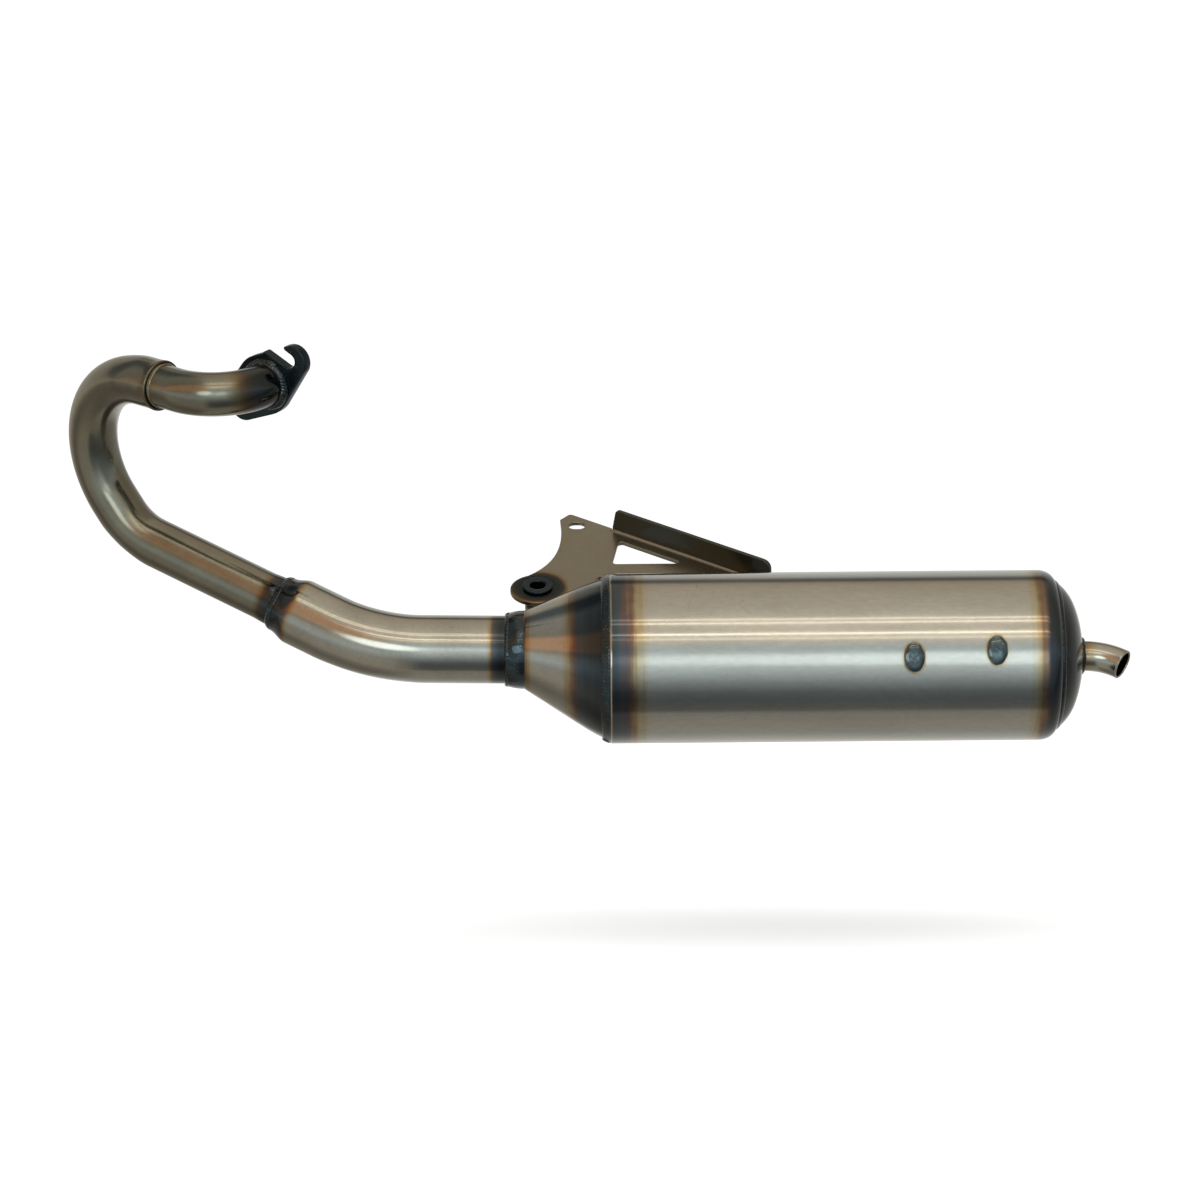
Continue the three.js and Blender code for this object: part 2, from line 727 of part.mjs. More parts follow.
add('reflector_cone', reflectorCone(), innerSteel);
add('stinger_tube', onAxis(sleeve(STINGER)), innerSteel);
add('front_partition', partition(PARTITIONS.front, [[0, STINGER.radius + GAP]]), innerSteel);
const transferHoles = [-1, 1].map((side) => [side * TRANSFER.offset, TRANSFER.radius + GAP]);
add('rear_partition', partition(PARTITIONS.rear, transferHoles), innerSteel);
add('transfer_tube_upper', onAxis(sleeve(TRANSFER).translate(0, 0, TRANSFER.offset)), innerSteel);
add('transfer_tube_lower', onAxis(sleeve(TRANSFER).translate(0, 0, -TRANSFER.offset)), innerSteel);

export default exhaust;
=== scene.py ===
"""The looks of a two-stroke scooter's racing exhaust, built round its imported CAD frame.

Every visible CAD node is replaced by a finer mesh of the same size: bent pipes with rounded
lips and flattened bends, rippled weld beads, a bevelled flange, a folded bracket and turned
silencer sheets. A float attribute named temper says how far the metal has been heated.
"""

import math

import bmesh
import bpy
import numpy as np
from mathutils import Matrix, Vector
from mathutils.geometry import tessellate_polygon


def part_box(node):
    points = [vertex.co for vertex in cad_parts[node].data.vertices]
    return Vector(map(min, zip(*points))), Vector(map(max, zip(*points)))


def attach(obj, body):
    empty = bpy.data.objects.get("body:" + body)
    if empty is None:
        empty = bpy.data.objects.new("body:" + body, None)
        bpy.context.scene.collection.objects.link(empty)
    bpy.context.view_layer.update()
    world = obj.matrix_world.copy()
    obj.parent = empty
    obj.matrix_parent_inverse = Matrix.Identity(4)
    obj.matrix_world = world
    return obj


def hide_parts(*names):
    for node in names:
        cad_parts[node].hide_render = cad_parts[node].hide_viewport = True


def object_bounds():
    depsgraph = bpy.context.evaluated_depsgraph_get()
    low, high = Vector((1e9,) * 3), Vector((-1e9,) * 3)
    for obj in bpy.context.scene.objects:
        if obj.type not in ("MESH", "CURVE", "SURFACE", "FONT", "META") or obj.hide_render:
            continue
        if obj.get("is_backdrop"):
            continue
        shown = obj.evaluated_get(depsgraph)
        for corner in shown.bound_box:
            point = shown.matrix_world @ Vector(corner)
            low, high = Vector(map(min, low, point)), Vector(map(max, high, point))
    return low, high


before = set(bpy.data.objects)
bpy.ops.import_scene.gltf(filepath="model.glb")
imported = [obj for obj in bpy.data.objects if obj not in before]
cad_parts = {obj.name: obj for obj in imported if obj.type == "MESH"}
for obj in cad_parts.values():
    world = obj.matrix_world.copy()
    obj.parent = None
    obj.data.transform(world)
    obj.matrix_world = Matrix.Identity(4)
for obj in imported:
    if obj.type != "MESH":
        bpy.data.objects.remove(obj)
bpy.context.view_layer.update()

MM = 0.001
BODY = "root"


def box_mm(node):
    """A CAD node's lowest and highest corners, in millimetres."""
    return [np.array(corner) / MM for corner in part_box(node)]


# ---- sizes from the frame

SHELL_LOW, SHELL_HIGH = box_mm("silencer_shell")
AXIS = (SHELL_LOW + SHELL_HIGH) / 2 * (0, 1, 1)  # a point on the silencer's axis
SHELL_RADIUS = (SHELL_HIGH[2] - SHELL_LOW[2]) / 2
SHELL_START, SHELL_END = SHELL_LOW[0], SHELL_HIGH[0]
SHOULDER = 9.5  # length over which the shell's rear end is rolled in
ROLLED_RADIUS = 44.2
SHEET = 1.2
CONE_START, CONE_END = (corner[0] for corner in box_mm("inlet_cone"))
CONE_MOUTH = SHELL_START - 4.2
CONE_SMALL, CONE_LARGE, CONE_LIP = 23.2, 47.9, 48.4
CONE_LIFT = 5.6  # the small end's centre above the silencer's axis
CAP_END = box_mm("end_cap")[1][0]

TUBE_WALL, TAIL_WALL = 1.5, 1.2
FRONT_RADIUS, MIDDLE_RADIUS, REAR_RADIUS, TAIL_RADIUS = 12.7, 14.6, 20.0, 8.8
NECK_RADIUS, NECK_LENGTH = 17.0, 11.0
FRONT_START, FRONT_END = 1.2, 88  # these and the next are lengths along the header
SLIP_MOUTH, MIDDLE_END, REAR_START = 77.2, 341.0, 336.0

HEADER_CORNERS = [(0, 0, 0), (-24, -36, -15), (-159, 65, 27.5), (-89, 65, -86), (55.5, 26.6, -156.2),
                  (152, 26.6, -157.8)]
HEADER_BENDS = [33, 53.7, 53.7, 124]
TAIL_CORNERS = [(438, 26.6, -164.2), (485.2, 26.6, -164.2), (495.4, 21.1, -169.5)]
TAIL_BENDS = [36]

FLANGE_THICKNESS = 6
STUD_RADIUS, STUD_TILT, SLOT_WIDTH, SLOT_TILT = 23.2, math.radians(-7.4), 8.9, math.radians(26)

PLATE_THICKNESS, PLATE_HEIGHT, PLATE_PITCH = 2.5, 23.5, math.radians(32)
BUSH_AT = (152, 42.5)
FOLD_AT, FOLD_LENGTH, FOLD_HEIGHT, FOLD_TURN = (198.1, 109.4), 113, 15, math.radians(-34.5)
FOLD_RADIUS = 2.0  # inside radius of the fold

PLUG_HALF_WIDTH, PLUG_HALF_LENGTH, PLUG_RISE = 6.2, 8.7, 1.1
PLUGS = [f"{row}_plug_weld_{i}" for row in ("front", "rear") for i in (1, 2, 3)]


# ---- helpers

def unit(vector):
    return vector / np.linalg.norm(vector)


def circle(count):
    """Evenly spaced angles once round."""
    return np.arange(count) / count * 2 * math.pi


def wobble(turn, seed, harmonics=9):
    """A smooth periodic irregularity between about -1 and 1; turn runs from 0 to 1."""
    phases = np.random.default_rng(seed).random(harmonics) * 2 * math.pi
    orders = np.arange(2, 2 + harmonics)
    waves = [np.sin(2 * math.pi * order * turn + phase) for order, phase in zip(orders, phases)]
    return np.sum(waves, axis=0) / math.sqrt(harmonics)


def cooling(distance, dark, fade):
    """Temper of the metal: 1 up to `dark` from a weld, then down to 0 over `fade`."""
    return np.clip(1 - (np.asarray(distance, float) - dark) / fade, 0, 1)


def smooth_through(points, per_span=8):
    """A Catmull-Rom line through the given points."""
    points = np.array(points, float)
    padded = np.vstack([2 * points[0] - points[1], points, 2 * points[-1] - points[-2]])
    line = []
    for a, b, c, d in zip(padded, padded[1:], padded[2:], padded[3:]):
        for t in np.arange(per_span) / per_span:
            bent = (2 * a - 5 * b + 4 * c - d) * t**2 + (3 * b - a - 3 * c + d) * t**3
            line.append((2 * b + (c - a) * t + bent) / 2)
    return np.array([*line, points[-1]])


def grid_faces(rows, columns, close_rows):
    """Quads over a grid of points that always closes along its columns."""
    faces = []
    for i in range(rows if close_rows else rows - 1):
        here, there = i * columns, (i + 1) % rows * columns
        for j in range(columns):
            k = (j + 1) % columns
            faces.append((here + j, here + k, there + k, there + j))
    return faces


def add_object(name, data):
    made = bpy.data.objects.new(name, data)
    bpy.context.scene.collection.objects.link(made)
    return made


def make_piece(name, points, faces, material, nodes=(), heat=None, flat=()):
    mesh = bpy.data.meshes.new(name)
    mesh.from_pydata((np.asarray(points, float) * MM).tolist(), [], faces)
    if heat is not None:
        layer = mesh.attributes.new("temper", "FLOAT", "POINT")
        layer.data.foreach_set("value", np.asarray(heat, np.float32).ravel())
    work = bmesh.new()
    work.from_mesh(mesh)
    bmesh.ops.recalc_face_normals(work, faces=work.faces)
    work.to_mesh(mesh)
    work.free()
    smooth = np.ones(len(mesh.polygons), bool)
    smooth[list(flat)] = False
    mesh.polygons.foreach_set("use_smooth", smooth)
    mesh.materials.append(material)
    piece = add_object(name, mesh)
    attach(piece, BODY)
    if nodes:
        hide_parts(*nodes)
    return piece


# ---- routes

class Route:
    """Straight legs joined by arcs, measured by length."""

    def __init__(self, corners, bends):
        corners = [np.array(corner, float) for corner in corners]
        self.legs = []
        self.length = 0.0
        start = corners[0]
        for before, corner, after, radius in zip(corners, corners[1:], corners[2:], bends):
            back, ahead = unit(before - corner), unit(after - corner)
            turn = math.pi - math.acos(float(np.dot(back, ahead)))
            setback = radius * math.tan(turn / 2)
            first, last = corner + back * setback, corner + ahead * setback
            inward = unit(back + ahead)
            centre = corner + inward * radius / math.cos(turn / 2)
            self.add_straight(start, first)
            data = (centre, first - centre, -back * radius, radius)
            self.legs.append(("arc", self.length, turn * radius, data))
            self.length += turn * radius
            start = last
        self.add_straight(start, corners[-1])

    def add_straight(self, start, end):
        run = np.linalg.norm(end - start)
        self.legs.append(("line", self.length, run, (start, (end - start) / run)))
        self.length += run

    def at(self, station):
        """Point, direction, unit vector to the bend's inside (zero on a straight)."""
        for kind, start, run, data in self.legs:
            if station <= start + run or data is self.legs[-1][3]:
                break
        if kind == "line":
            origin, direction = data
            return origin + direction * (station - start), direction, np.zeros(3)
        centre, outward, forward, radius = data
        angle = (station - start) / radius
        point = centre + outward * math.cos(angle) + forward * math.sin(angle)
        direction = (forward * math.cos(angle) - outward * math.sin(angle)) / radius
        return point, direction, (centre - point) / radius

    def bend_share(self, station, ease=13):
        """0 on a straight and at a bend's ends, rising softly to 1 inside the bend."""
        share = 0.0
        for kind, start, run, _ in self.legs:
            if kind == "arc":
                inside = min(station - start, start + run - station)
                share = max(share, min(1, inside / ease))
        return share * share * (3 - 2 * share)


HEADER = Route(HEADER_CORNERS, HEADER_BENDS)
TAIL = Route(TAIL_CORNERS, TAIL_BENDS)


def ring_frames(route, stations):
    """Centres, two turning-free cross vectors and the way to the bend's inside."""
    centres, directions, inwards = zip(*(route.at(station) for station in stations))
    across, ups = [], []
    side = unit(np.cross(directions[0], (0, 0, 1)))
    for direction in directions:
        side = unit(side - direction * np.dot(side, direction))
        across.append(side)
        ups.append(np.cross(side, direction))
    return centres, across, ups, inwards


def tube(node, route, start, end, radius_at, heat_at, wall, material, sides=72, step=1.2, lip=0.5):
    """A bent pipe with rounded lips. radius_at gives the radius for a station, the share
    of bend there and the cosine of each side towards the bend's inside."""
    middle = np.linspace(start + lip, end - lip, max(4, int((end - start) / step)))
    quarter = np.linspace(0, math.pi / 2, 5)
    outer = [(start + lip * (1 - math.sin(a)), lip * (1 - math.cos(a))) for a in quarter[::-1]]
    outer += [(station, 0.0) for station in middle[1:-1]]
    outer += [(end - lip * (1 - math.sin(a)), lip * (1 - math.cos(a))) for a in quarter]
    inner = [(station, wall) for station in middle[::-1]]
    rows = [(start, wall - lip * 0.4)] + outer + [(end, wall - lip * 0.4)] + inner
    angles = circle(sides)
    points, heats = [], []
    frames = ring_frames(route, [row[0] for row in rows])
    for (station, inset), centre, side, up, inward in zip(rows, *frames):
        radial = side * np.cos(angles)[:, None] + up * np.sin(angles)[:, None]
        radius = radius_at(station, route.bend_share(station), radial @ inward) - inset
        points.append(centre + radial * radius[:, None])
        heats.append(np.full(sides, heat_at(station)))
    faces = grid_faces(len(rows), sides, close_rows=True)
    make_piece(node + "_tube", np.vstack(points), faces, material, [node], np.hstack(heats))


def turned_sheet(name, node, profile, sides, heat_of, lift=None):
    """A sheet of the silencer, turned about its axis from a closed profile of [x, radius]
    points. heat_of gives the temper at its points, and lift raises a ring's centre."""
    angles = circle(sides)
    points = []
    for x, radius in profile:
        ring = np.stack([np.full(sides, x), radius * np.cos(angles), radius * np.sin(angles)], axis=1)
        if lift:
            ring[:, 2] += lift(x)
        points.append(ring + AXIS)
    points = np.vstack(points)
    faces = grid_faces(len(profile), sides, close_rows=True)
    make_piece(name, points, faces, SILENCER_STEEL, [node], heat_of(points))


# ---- weld beads

def bead(name, centres, outward, across, width, height, material, pitch, ripple, seed, style="fillet",
         waver=1.0, closed=True, heat=0.8, nodes=None):
    """A rippled weld bead along a line. `outward` points away from the metal and `across`
    to one side of the bead; a crown lies over a seam, a fillet fills a corner."""
    bow = 0.55  # how far the ripples bow forward, in ripples
    count = len(centres)
    steps = np.linalg.norm(np.roll(centres, -1, axis=0) - centres, axis=1)
    run = np.concatenate([[0], np.cumsum(steps)])[:count]
    total = run[-1] + (steps[-1] if closed else 0)
    beats = max(3, round(total / pitch))
    turn = run / total
    sweep = math.pi if style == "crown" else math.pi / 2
    reach = width / 2 if style == "crown" else width
    swell = 1 + 0.07 * waver * wobble(turn, seed)
    sway = 0.05 * waver * width * wobble(turn, seed + 7)
    heights = np.broadcast_to(height, count)
    rows, heats = [], []
    for t in np.linspace(0, sweep, 15):
        beat = turn * beats + 0.12 * wobble(turn, seed + 3) - bow * math.sin(t)
        scale = 1 - np.mod(beat, 1)
        relief = ripple * (scale**1.6 - 0.35) * math.sin(t * math.pi / sweep) ** 0.6
        a = reach * swell * math.cos(t) + sway + relief * math.cos(t)
        u = heights * swell * math.sin(t) + relief * math.sin(t)
        rows.append(centres + across * a[:, None] + outward * u[:, None])
        heats.append(heat + 0.25 * (scale - 0.5))
    if style == "crown":
        under = [(-reach, -0.5), (reach, -0.5)]
    else:
        under = [(-0.4, heights * 0.9), (-0.4, -0.4), (reach * 0.9, -0.4)]
    for a, u in under:
        rows.append(centres + across * a + outward * np.reshape(u * np.ones(count), (-1, 1)))
        heats.append(np.full(count, heat))
    points = np.stack(rows, axis=1)  # along the bead, round its section, xyz
    heats = np.clip(np.stack(heats, axis=1), 0, 1)
    section = len(rows)
    faces = grid_faces(count, section, close_rows=closed)
    if not closed:
        faces.append(tuple(range(section)))
        faces.append(tuple(range((count - 1) * section, count * section))[::-1])
    nodes = [name] if nodes is None else nodes
    make_piece(name, points.reshape(-1, 3), faces, material, nodes, heats)


def pipe_weld(name, route, station, radius, width, height, *look, facing=1, **extra):
    """A bead round a pipe; facing 1 spreads it forward along the route. Its height may
    depend on the way out of the pipe."""
    point, direction, _ = route.at(station)
    side = unit(np.cross(direction, (0, 0, 1)))
    up = np.cross(side, direction)
    count = int(2 * math.pi * radius / 0.22)
    angles = circle(count)
    radial = side * np.cos(angles)[:, None] + up * np.sin(angles)[:, None]
    heights = height(radial) if callable(height) else height
    along = np.tile(direction * facing, (count, 1))
    bead(name, point + radial * radius, radial, along, width, heights, *look, **extra)


def silencer_weld(name, x, radius, lean, width, height, *look, **extra):
    """A crown round the silencer, its base leaning outwards by `lean` per millimetre of x."""
    count = int(2 * math.pi * radius / 0.24)
    angles = circle(count)
    radial = np.stack([np.zeros(count), np.cos(angles), np.sin(angles)], axis=1)
    axial = np.tile((1.0, 0, 0), (count, 1))
    across = (axial + radial * lean) / math.hypot(1, lean)
    outward = (radial - axial * lean) / math.hypot(1, lean)
    centres = AXIS + axial * x + radial * radius
    bead(name, centres, outward, across, width, height, *look, style="crown", **extra)


# ---- materials

TEMPER = [  # how tempered, and the tint that the oxide gives the steel
    (0.00, (1.00, 1.00, 1.00)),
    (0.10, (0.96, 0.89, 0.72)),
    (0.24, (0.78, 0.60, 0.36)),
    (0.34, (0.46, 0.28, 0.15)),
    (0.43, (0.25, 0.15, 0.13)),
    (0.52, (0.12, 0.13, 0.18)),
    (0.62, (0.07, 0.12, 0.17)),
    (0.74, (0.045, 0.075, 0.10)),
    (0.86, (0.025, 0.045, 0.06)),
    (1.00, (0.010, 0.020, 0.026)),
]


class Nodes:
    """A node tree, with short ways to add and link nodes."""

    def __init__(self, tree):
        self.tree = tree

    def node(self, kind, **settings):
        made = self.tree.nodes.new(kind)
        for key, value in settings.items():
            setattr(made, key, value)
        return made

    def feed(self, socket, source):
        if isinstance(source, bpy.types.NodeSocket):
            self.tree.links.new(source, socket)
        elif isinstance(source, tuple):
            socket.default_value = (*source, 1)
        else:
            socket.default_value = source

    def math(self, operation, a, b=0.0, clamp=False):
        made = self.node("ShaderNodeMath", operation=operation, use_clamp=clamp)
        self.feed(made.inputs[0], a)
        self.feed(made.inputs[1], b)
        return made.outputs[0]

    def span(self, value, low, high, to_low=0.0, to_high=1.0, easing="LINEAR"):
        made = self.node("ShaderNodeMapRange", interpolation_type=easing)
        for socket, source in zip(made.inputs, (value, low, high, to_low, to_high)):
            self.feed(socket, source)
        return made.outputs[0]

    def mix(self, share, a, b, blend="MIX"):
        made = self.node("ShaderNodeMix", data_type="RGBA", blend_type=blend)
        self.feed(made.inputs["Factor"], share)
        self.feed(made.inputs[6], a)
        self.feed(made.inputs[7], b)
        return made.outputs[2]

    def ramp(self, value, stops):
        """A colour ramp with the given (position, colour) stops, in rising order."""
        made = self.node("ShaderNodeValToRGB")
        for element, (place, color) in zip(made.color_ramp.elements, (stops[0], stops[-1])):
            element.position = place
            element.color = (*color, 1)
        for place, color in stops[1:-1]:
            made.color_ramp.elements.new(place).color = (*color, 1)
        self.feed(made.inputs[0], value)
        return made.outputs[0]


class Shader(Nodes):
    """A new material's node tree."""

    def __init__(self, name):
        self.material = bpy.data.materials.new(name)
        self.material.use_nodes = True
        super().__init__(self.material.node_tree)
        self.surface = self.tree.nodes["Principled BSDF"]
        self.place = self.node("ShaderNodeTexCoord").outputs["Object"]

    def noise(self, scale, detail=3, roughness=0.55, stretch=(1, 1, 1)):
        """Fractal noise in 0..1, with its features about 1/scale metres across."""
        mapping = self.node("ShaderNodeMapping")
        mapping.inputs["Scale"].default_value = stretch
        self.feed(mapping.inputs["Vector"], self.place)
        made = self.node("ShaderNodeTexNoise")
        self.feed(made.inputs["Vector"], mapping.outputs["Vector"])
        made.inputs["Scale"].default_value = scale
        made.inputs["Detail"].default_value = detail
        made.inputs["Roughness"].default_value = roughness
        return made.outputs["Fac"]

    def temper(self):
        return self.node("ShaderNodeAttribute", attribute_name="temper").outputs["Fac"]

    def heat(self, raggedness, rings=0.0):
        """The temper with its edges broken up, and banded in rings about the X axis."""
        read = self.temper()
        shift_by = self.span(self.noise(70, 4), 0.3, 0.7, -raggedness, raggedness)
        if rings:
            banded = self.span(self.noise(420, 2, 0.5, (1, 0.03, 0.03)), 0.3, 0.7, -rings, rings)
            shift_by = self.math("ADD", shift_by, banded)
        hot = self.math("MULTIPLY", shift_by, self.span(read, 0.0, 0.12))
        return self.math("ADD", read, hot, clamp=True)

    def crazing(self):
        """Short hairline cracks in the lacquer, in scattered patches."""
        cells = self.node("ShaderNodeTexVoronoi", feature="DISTANCE_TO_EDGE")
        self.feed(cells.inputs["Vector"], self.place)
        cells.inputs["Scale"].default_value = 75
        lines = self.span(cells.outputs["Distance"], 0.003, 0.009, 1.0, 0.0)
        patches = self.span(self.noise(45, 2), 0.61, 0.67)
        return self.math("MULTIPLY", lines, patches, clamp=True)

    def bump(self, height, strength, distance_mm):
        made = self.node("ShaderNodeBump")
        self.feed(made.inputs["Height"], height)
        made.inputs["Strength"].default_value = strength
        made.inputs["Distance"].default_value = distance_mm * MM
        self.feed(self.surface.inputs["Normal"], made.outputs["Normal"])

    def finish(self, color, roughness, metallic=1.0, coat=0.0, coat_roughness=0.1):
        self.feed(self.surface.inputs["Base Color"], color)
        self.feed(self.surface.inputs["Roughness"], roughness)
        self.surface.inputs["Metallic"].default_value = metallic
        self.surface.inputs["Coat Weight"].default_value = coat
        self.surface.inputs["Coat Roughness"].default_value = coat_roughness
        return self.material


def lacquered_steel(name, dull, bright, roughness, grain=(1, 1, 1), coat=0.8, ripple=0.05, hairlines=0.0):
    """Bare steel sheet or tube under clear lacquer, tempered where it is near a weld."""
    shader = Shader(name)
    clouds = shader.noise(38, 5, 0.6, grain)
    streaks = shader.noise(420, 3, 0.6, tuple(0.06 + 0.94 * g for g in grain))
    specks = shader.span(shader.noise(900, 2), 0.69, 0.74)
    dirt = tuple(channel * 0.3 for channel in dull)

    def dirtied(steel, mask, share):
        return shader.mix(shader.math("MULTIPLY", mask, share), steel, dirt)
    steel = shader.mix(shader.span(clouds, 0.3, 0.7), dull, bright)
    steel = dirtied(steel, shader.span(streaks, 0.35, 0.65), 0.10)
    steel = dirtied(steel, specks, 0.5)
    if hairlines:
        steel = dirtied(steel, shader.crazing(), hairlines)
    heat = shader.heat(0.05, rings=0.06 if grain[0] < 1 else 0.0)
    tempered = shader.mix(1.0, steel, shader.ramp(heat, TEMPER), "MULTIPLY")
    rough = shader.span(clouds, 0.3, 0.7, roughness * 0.85, roughness * 1.2)
    waves = shader.math("MULTIPLY", shader.noise(24, 2, 0.5, grain), 6)
    fine = shader.math("MULTIPLY", shader.noise(1500, 2, 0.5, grain), 0.006)
    shader.bump(shader.math("ADD", waves, fine), ripple, 0.5)
    shader.surface.inputs["Coat IOR"].default_value = 1.7
    return shader.finish(tempered, rough, 1.0, coat, 0.02)


def weld_material(name, deep, pale, pale_share, roughness, relief=0.3):
    """Glossy oxide on a weld, from blue-black to pale slag; pale where its temper is 0."""
    shader = Shader(name)
    blotch = shader.noise(260, 4, 0.6)
    lighter = tuple(1.6 * channel + 0.01 for channel in deep)
    color = shader.mix(shader.span(blotch, 0.35, 0.65), deep, lighter)
    warm = shader.span(shader.noise(180, 2), 0.58, 0.7)
    color = shader.mix(shader.math("MULTIPLY", warm, 0.35), color, (0.07, 0.045, 0.03))
    cut_off = 0.62 - pale_share * 0.2
    color = shader.mix(shader.span(shader.noise(1300, 3, 0.6), cut_off, cut_off + 0.08), color, pale)
    color = shader.mix(shader.span(shader.temper(), 0.0, 0.3, 0.8, 0.0), color, pale)
    rough = shader.span(blotch, 0.3, 0.7, roughness * 0.6, roughness * 1.5)
    shader.bump(shader.noise(1100, 3), relief, 0.12)
    return shader.finish(color, rough, 1.0, 0.9, 0.05)


def scale_material(name, deep, worn, roughness):
    """Black-blue mill scale on hot-rolled plate, rubbed through in places."""
    shader = Shader(name)
    blotch = shader.noise(120, 5, 0.65)
    color = shader.mix(shader.span(blotch, 0.35, 0.7), deep, tuple(c * 1.9 for c in deep))
    rubbed = shader.span(shader.noise(520, 4, 0.7), 0.62, 0.72)
    handled = shader.span(shader.temper(), 0, 1, 0.12, 0.8)
    color = shader.mix(shader.math("MULTIPLY", rubbed, handled), color, worn)
    rough = shader.span(blotch, 0.3, 0.7, roughness * 0.8, roughness * 1.25)
    shader.bump(shader.noise(700, 4, 0.6), 0.4, 0.15)
    return shader.finish(color, rough, 1.0, 0.5, 0.12)


HEADER_STEEL = lacquered_steel("header_steel", (0.245, 0.225, 0.160), (0.335, 0.308, 0.225), 0.22,
                               ripple=0.02)
TUBE_STEEL = lacquered_steel("tube_steel", (0.44, 0.415, 0.35), (0.56, 0.53, 0.45), 0.13)
SILENCER_STEEL = lacquered_steel("silencer_steel", (0.53, 0.505, 0.445), (0.61, 0.585, 0.52), 0.13,
                                 grain=(0.35, 1, 1), ripple=0.04, hairlines=0.4)
BRACKET_STEEL = lacquered_steel("bracket_steel", (0.40, 0.365, 0.285), (0.47, 0.43, 0.34), 0.30,
                                coat=0.2, ripple=0.06)
# A darker copy of the bracket steel for the folded strip: painted shade, standing in for how dark the
# strip's face looks under the light.
STRIP_PAINTED_SHADE = lacquered_steel("strip_painted_shade", (0.098, 0.112, 0.098), (0.130, 0.148, 0.130), 0.32,
                              coat=0.2, ripple=0.06)
INNER_STEEL = lacquered_steel("inner_steel", (0.25, 0.24, 0.21), (0.40, 0.38, 0.34), 0.5, coat=0.0,
                              ripple=0.1)
FLANGE_SCALE = scale_material("flange_scale", (0.012, 0.027, 0.036), (0.42, 0.40, 0.34), 0.28)
WELD_BLUE = weld_material("weld_blue", (0.016, 0.033, 0.042), (0.46, 0.50, 0.49), -0.1, 0.13)
WELD_PLUG = weld_material("weld_plug", (0.055, 0.080, 0.083), (0.42, 0.42, 0.36), -0.5, 0.10, 0.03)
WELD_SLAG = weld_material("weld_slag", (0.018, 0.031, 0.038), (0.38, 0.39, 0.37), 0.14, 0.26)


# ---- header

def header_heat(station):
    """How far the header's tube is tempered at a length along it."""
    flange = cooling(station - FLANGE_THICKNESS, 6, 23)
    slip = 0.16 * cooling(abs(station - SLIP_MOUTH), 1, 8)
    joint = cooling(abs(station - REAR_START), 2, 12)
    inlet = 0.95 * cooling(HEADER.length - 19.4 - station, 2, 8)
    return float(max(flange, slip, joint, inlet))


def flattened(radius, bend, lean, squeeze, spread):
    """A tube's radius where a bend squeezes it in its own plane and spreads it across."""
    return radius * (1 - squeeze * bend * lean**2 + spread * bend * (1 - lean**2))


def front_pipe():
    def radius_at(station, bend, lean):
        return flattened(FRONT_RADIUS, bend, lean, 0.018, 0.008)
    tube("front_pipe", HEADER, FRONT_START, FRONT_END, radius_at, header_heat, TUBE_WALL, HEADER_STEEL)


def middle_pipe():
    """The U bend, flared at its mouth and swollen at the weld."""
    def radius_at(station, bend, lean):
        swell = 0.45 * math.exp(-((station - (REAR_START - 6)) / 4.5) ** 2)
        mouth = 0.4 * math.exp(-((station - SLIP_MOUTH) / 3.0) ** 2)
        return flattened(MIDDLE_RADIUS, bend, lean, 0.038, 0.010) + swell + mouth
    tube("middle_pipe", HEADER, SLIP_MOUTH, MIDDLE_END, radius_at, header_heat, TUBE_WALL, HEADER_STEEL,
         sides=84, lip=0.7)


def rear_pipe():
    """The wide pipe, swaged down at the middle weld."""
    def radius_at(station, bend, lean):
        t = min(1, max(0, (station - REAR_START) / NECK_LENGTH))
        eased = t * t * (3 - 2 * t)
        return flattened(NECK_RADIUS + (REAR_RADIUS - NECK_RADIUS) * eased, bend, lean, 0.012, 0)
    tube("rear_pipe", HEADER, REAR_START, HEADER.length, radius_at, header_heat, TUBE_WALL, TUBE_STEEL,
         sides=96, lip=0.7)


front_pipe()
middle_pipe()
rear_pipe()
# Each weld: where, on what radius, width, height, material, ripple pitch and depth, seed.
pipe_weld("flange_weld", HEADER, FLANGE_THICKNESS, FRONT_RADIUS, 3.6, 3.0, WELD_SLAG, 1.7, 0.25, 3)
pipe_weld("slip_joint_weld", HEADER, SLIP_MOUTH, FRONT_RADIUS, 2.2, lambda radial: 0.7 + 0.2 * radial[:, 2],
          HEADER_STEEL, 1.6, 0.03, 5, facing=-1, waver=0.6, heat=0.0)
pipe_weld("middle_weld", HEADER, REAR_START, MIDDLE_RADIUS, 3.8, 2.5, WELD_BLUE, 1.8, 0.25, 8, facing=-1)
pipe_weld("inlet_weld", HEADER, HEADER.length - 7.3, REAR_RADIUS, 11.4, 3.1, WELD_BLUE, 4.5, 0.10, 13,
          facing=-1, waver=0.25)
pipe_weld("inlet_weld_edge", HEADER, HEADER.length - 17.2, REAR_RADIUS + 0.6, 3.6, 1.1, WELD_BLUE, 2.2,
          0.25, 17, style="crown", nodes=())


# ---- silencer

def plug_place(name):
    """The x position and turn about the axis, in radians, of a plug weld's CAD node."""
    low, high = box_mm(name)
    middle = (low + high) / 2
    return middle[0], math.atan2(middle[2] - AXIS[2], middle[1] - AXIS[1])


def shell_heat(points):
    x = points[:, 0]
    turn = np.arctan2(points[:, 2] - AXIS[2], points[:, 1] - AXIS[1])
    front = np.interp(x - SHELL_START, (0.5, 0.7, 8, 13, 23), (0.0, 0.72, 0.50, 0.34, 0.0))
    rear = np.interp(SHELL_END - x, (0, 5, 10.5, 19), (0.90, 0.62, 0.36, 0.0))
    heat = np.maximum(front, rear)
    for name in PLUGS:
        plug_x, plug_turn = plug_place(name)
        arc = (np.mod(turn - plug_turn + math.pi, 2 * math.pi) - math.pi) * SHELL_RADIUS
        spread = np.hypot((x - plug_x) / PLUG_HALF_WIDTH, arc / PLUG_HALF_LENGTH)
        heat = np.maximum(heat, 0.26 * cooling(spread, 1.02, 0.16))
    return heat


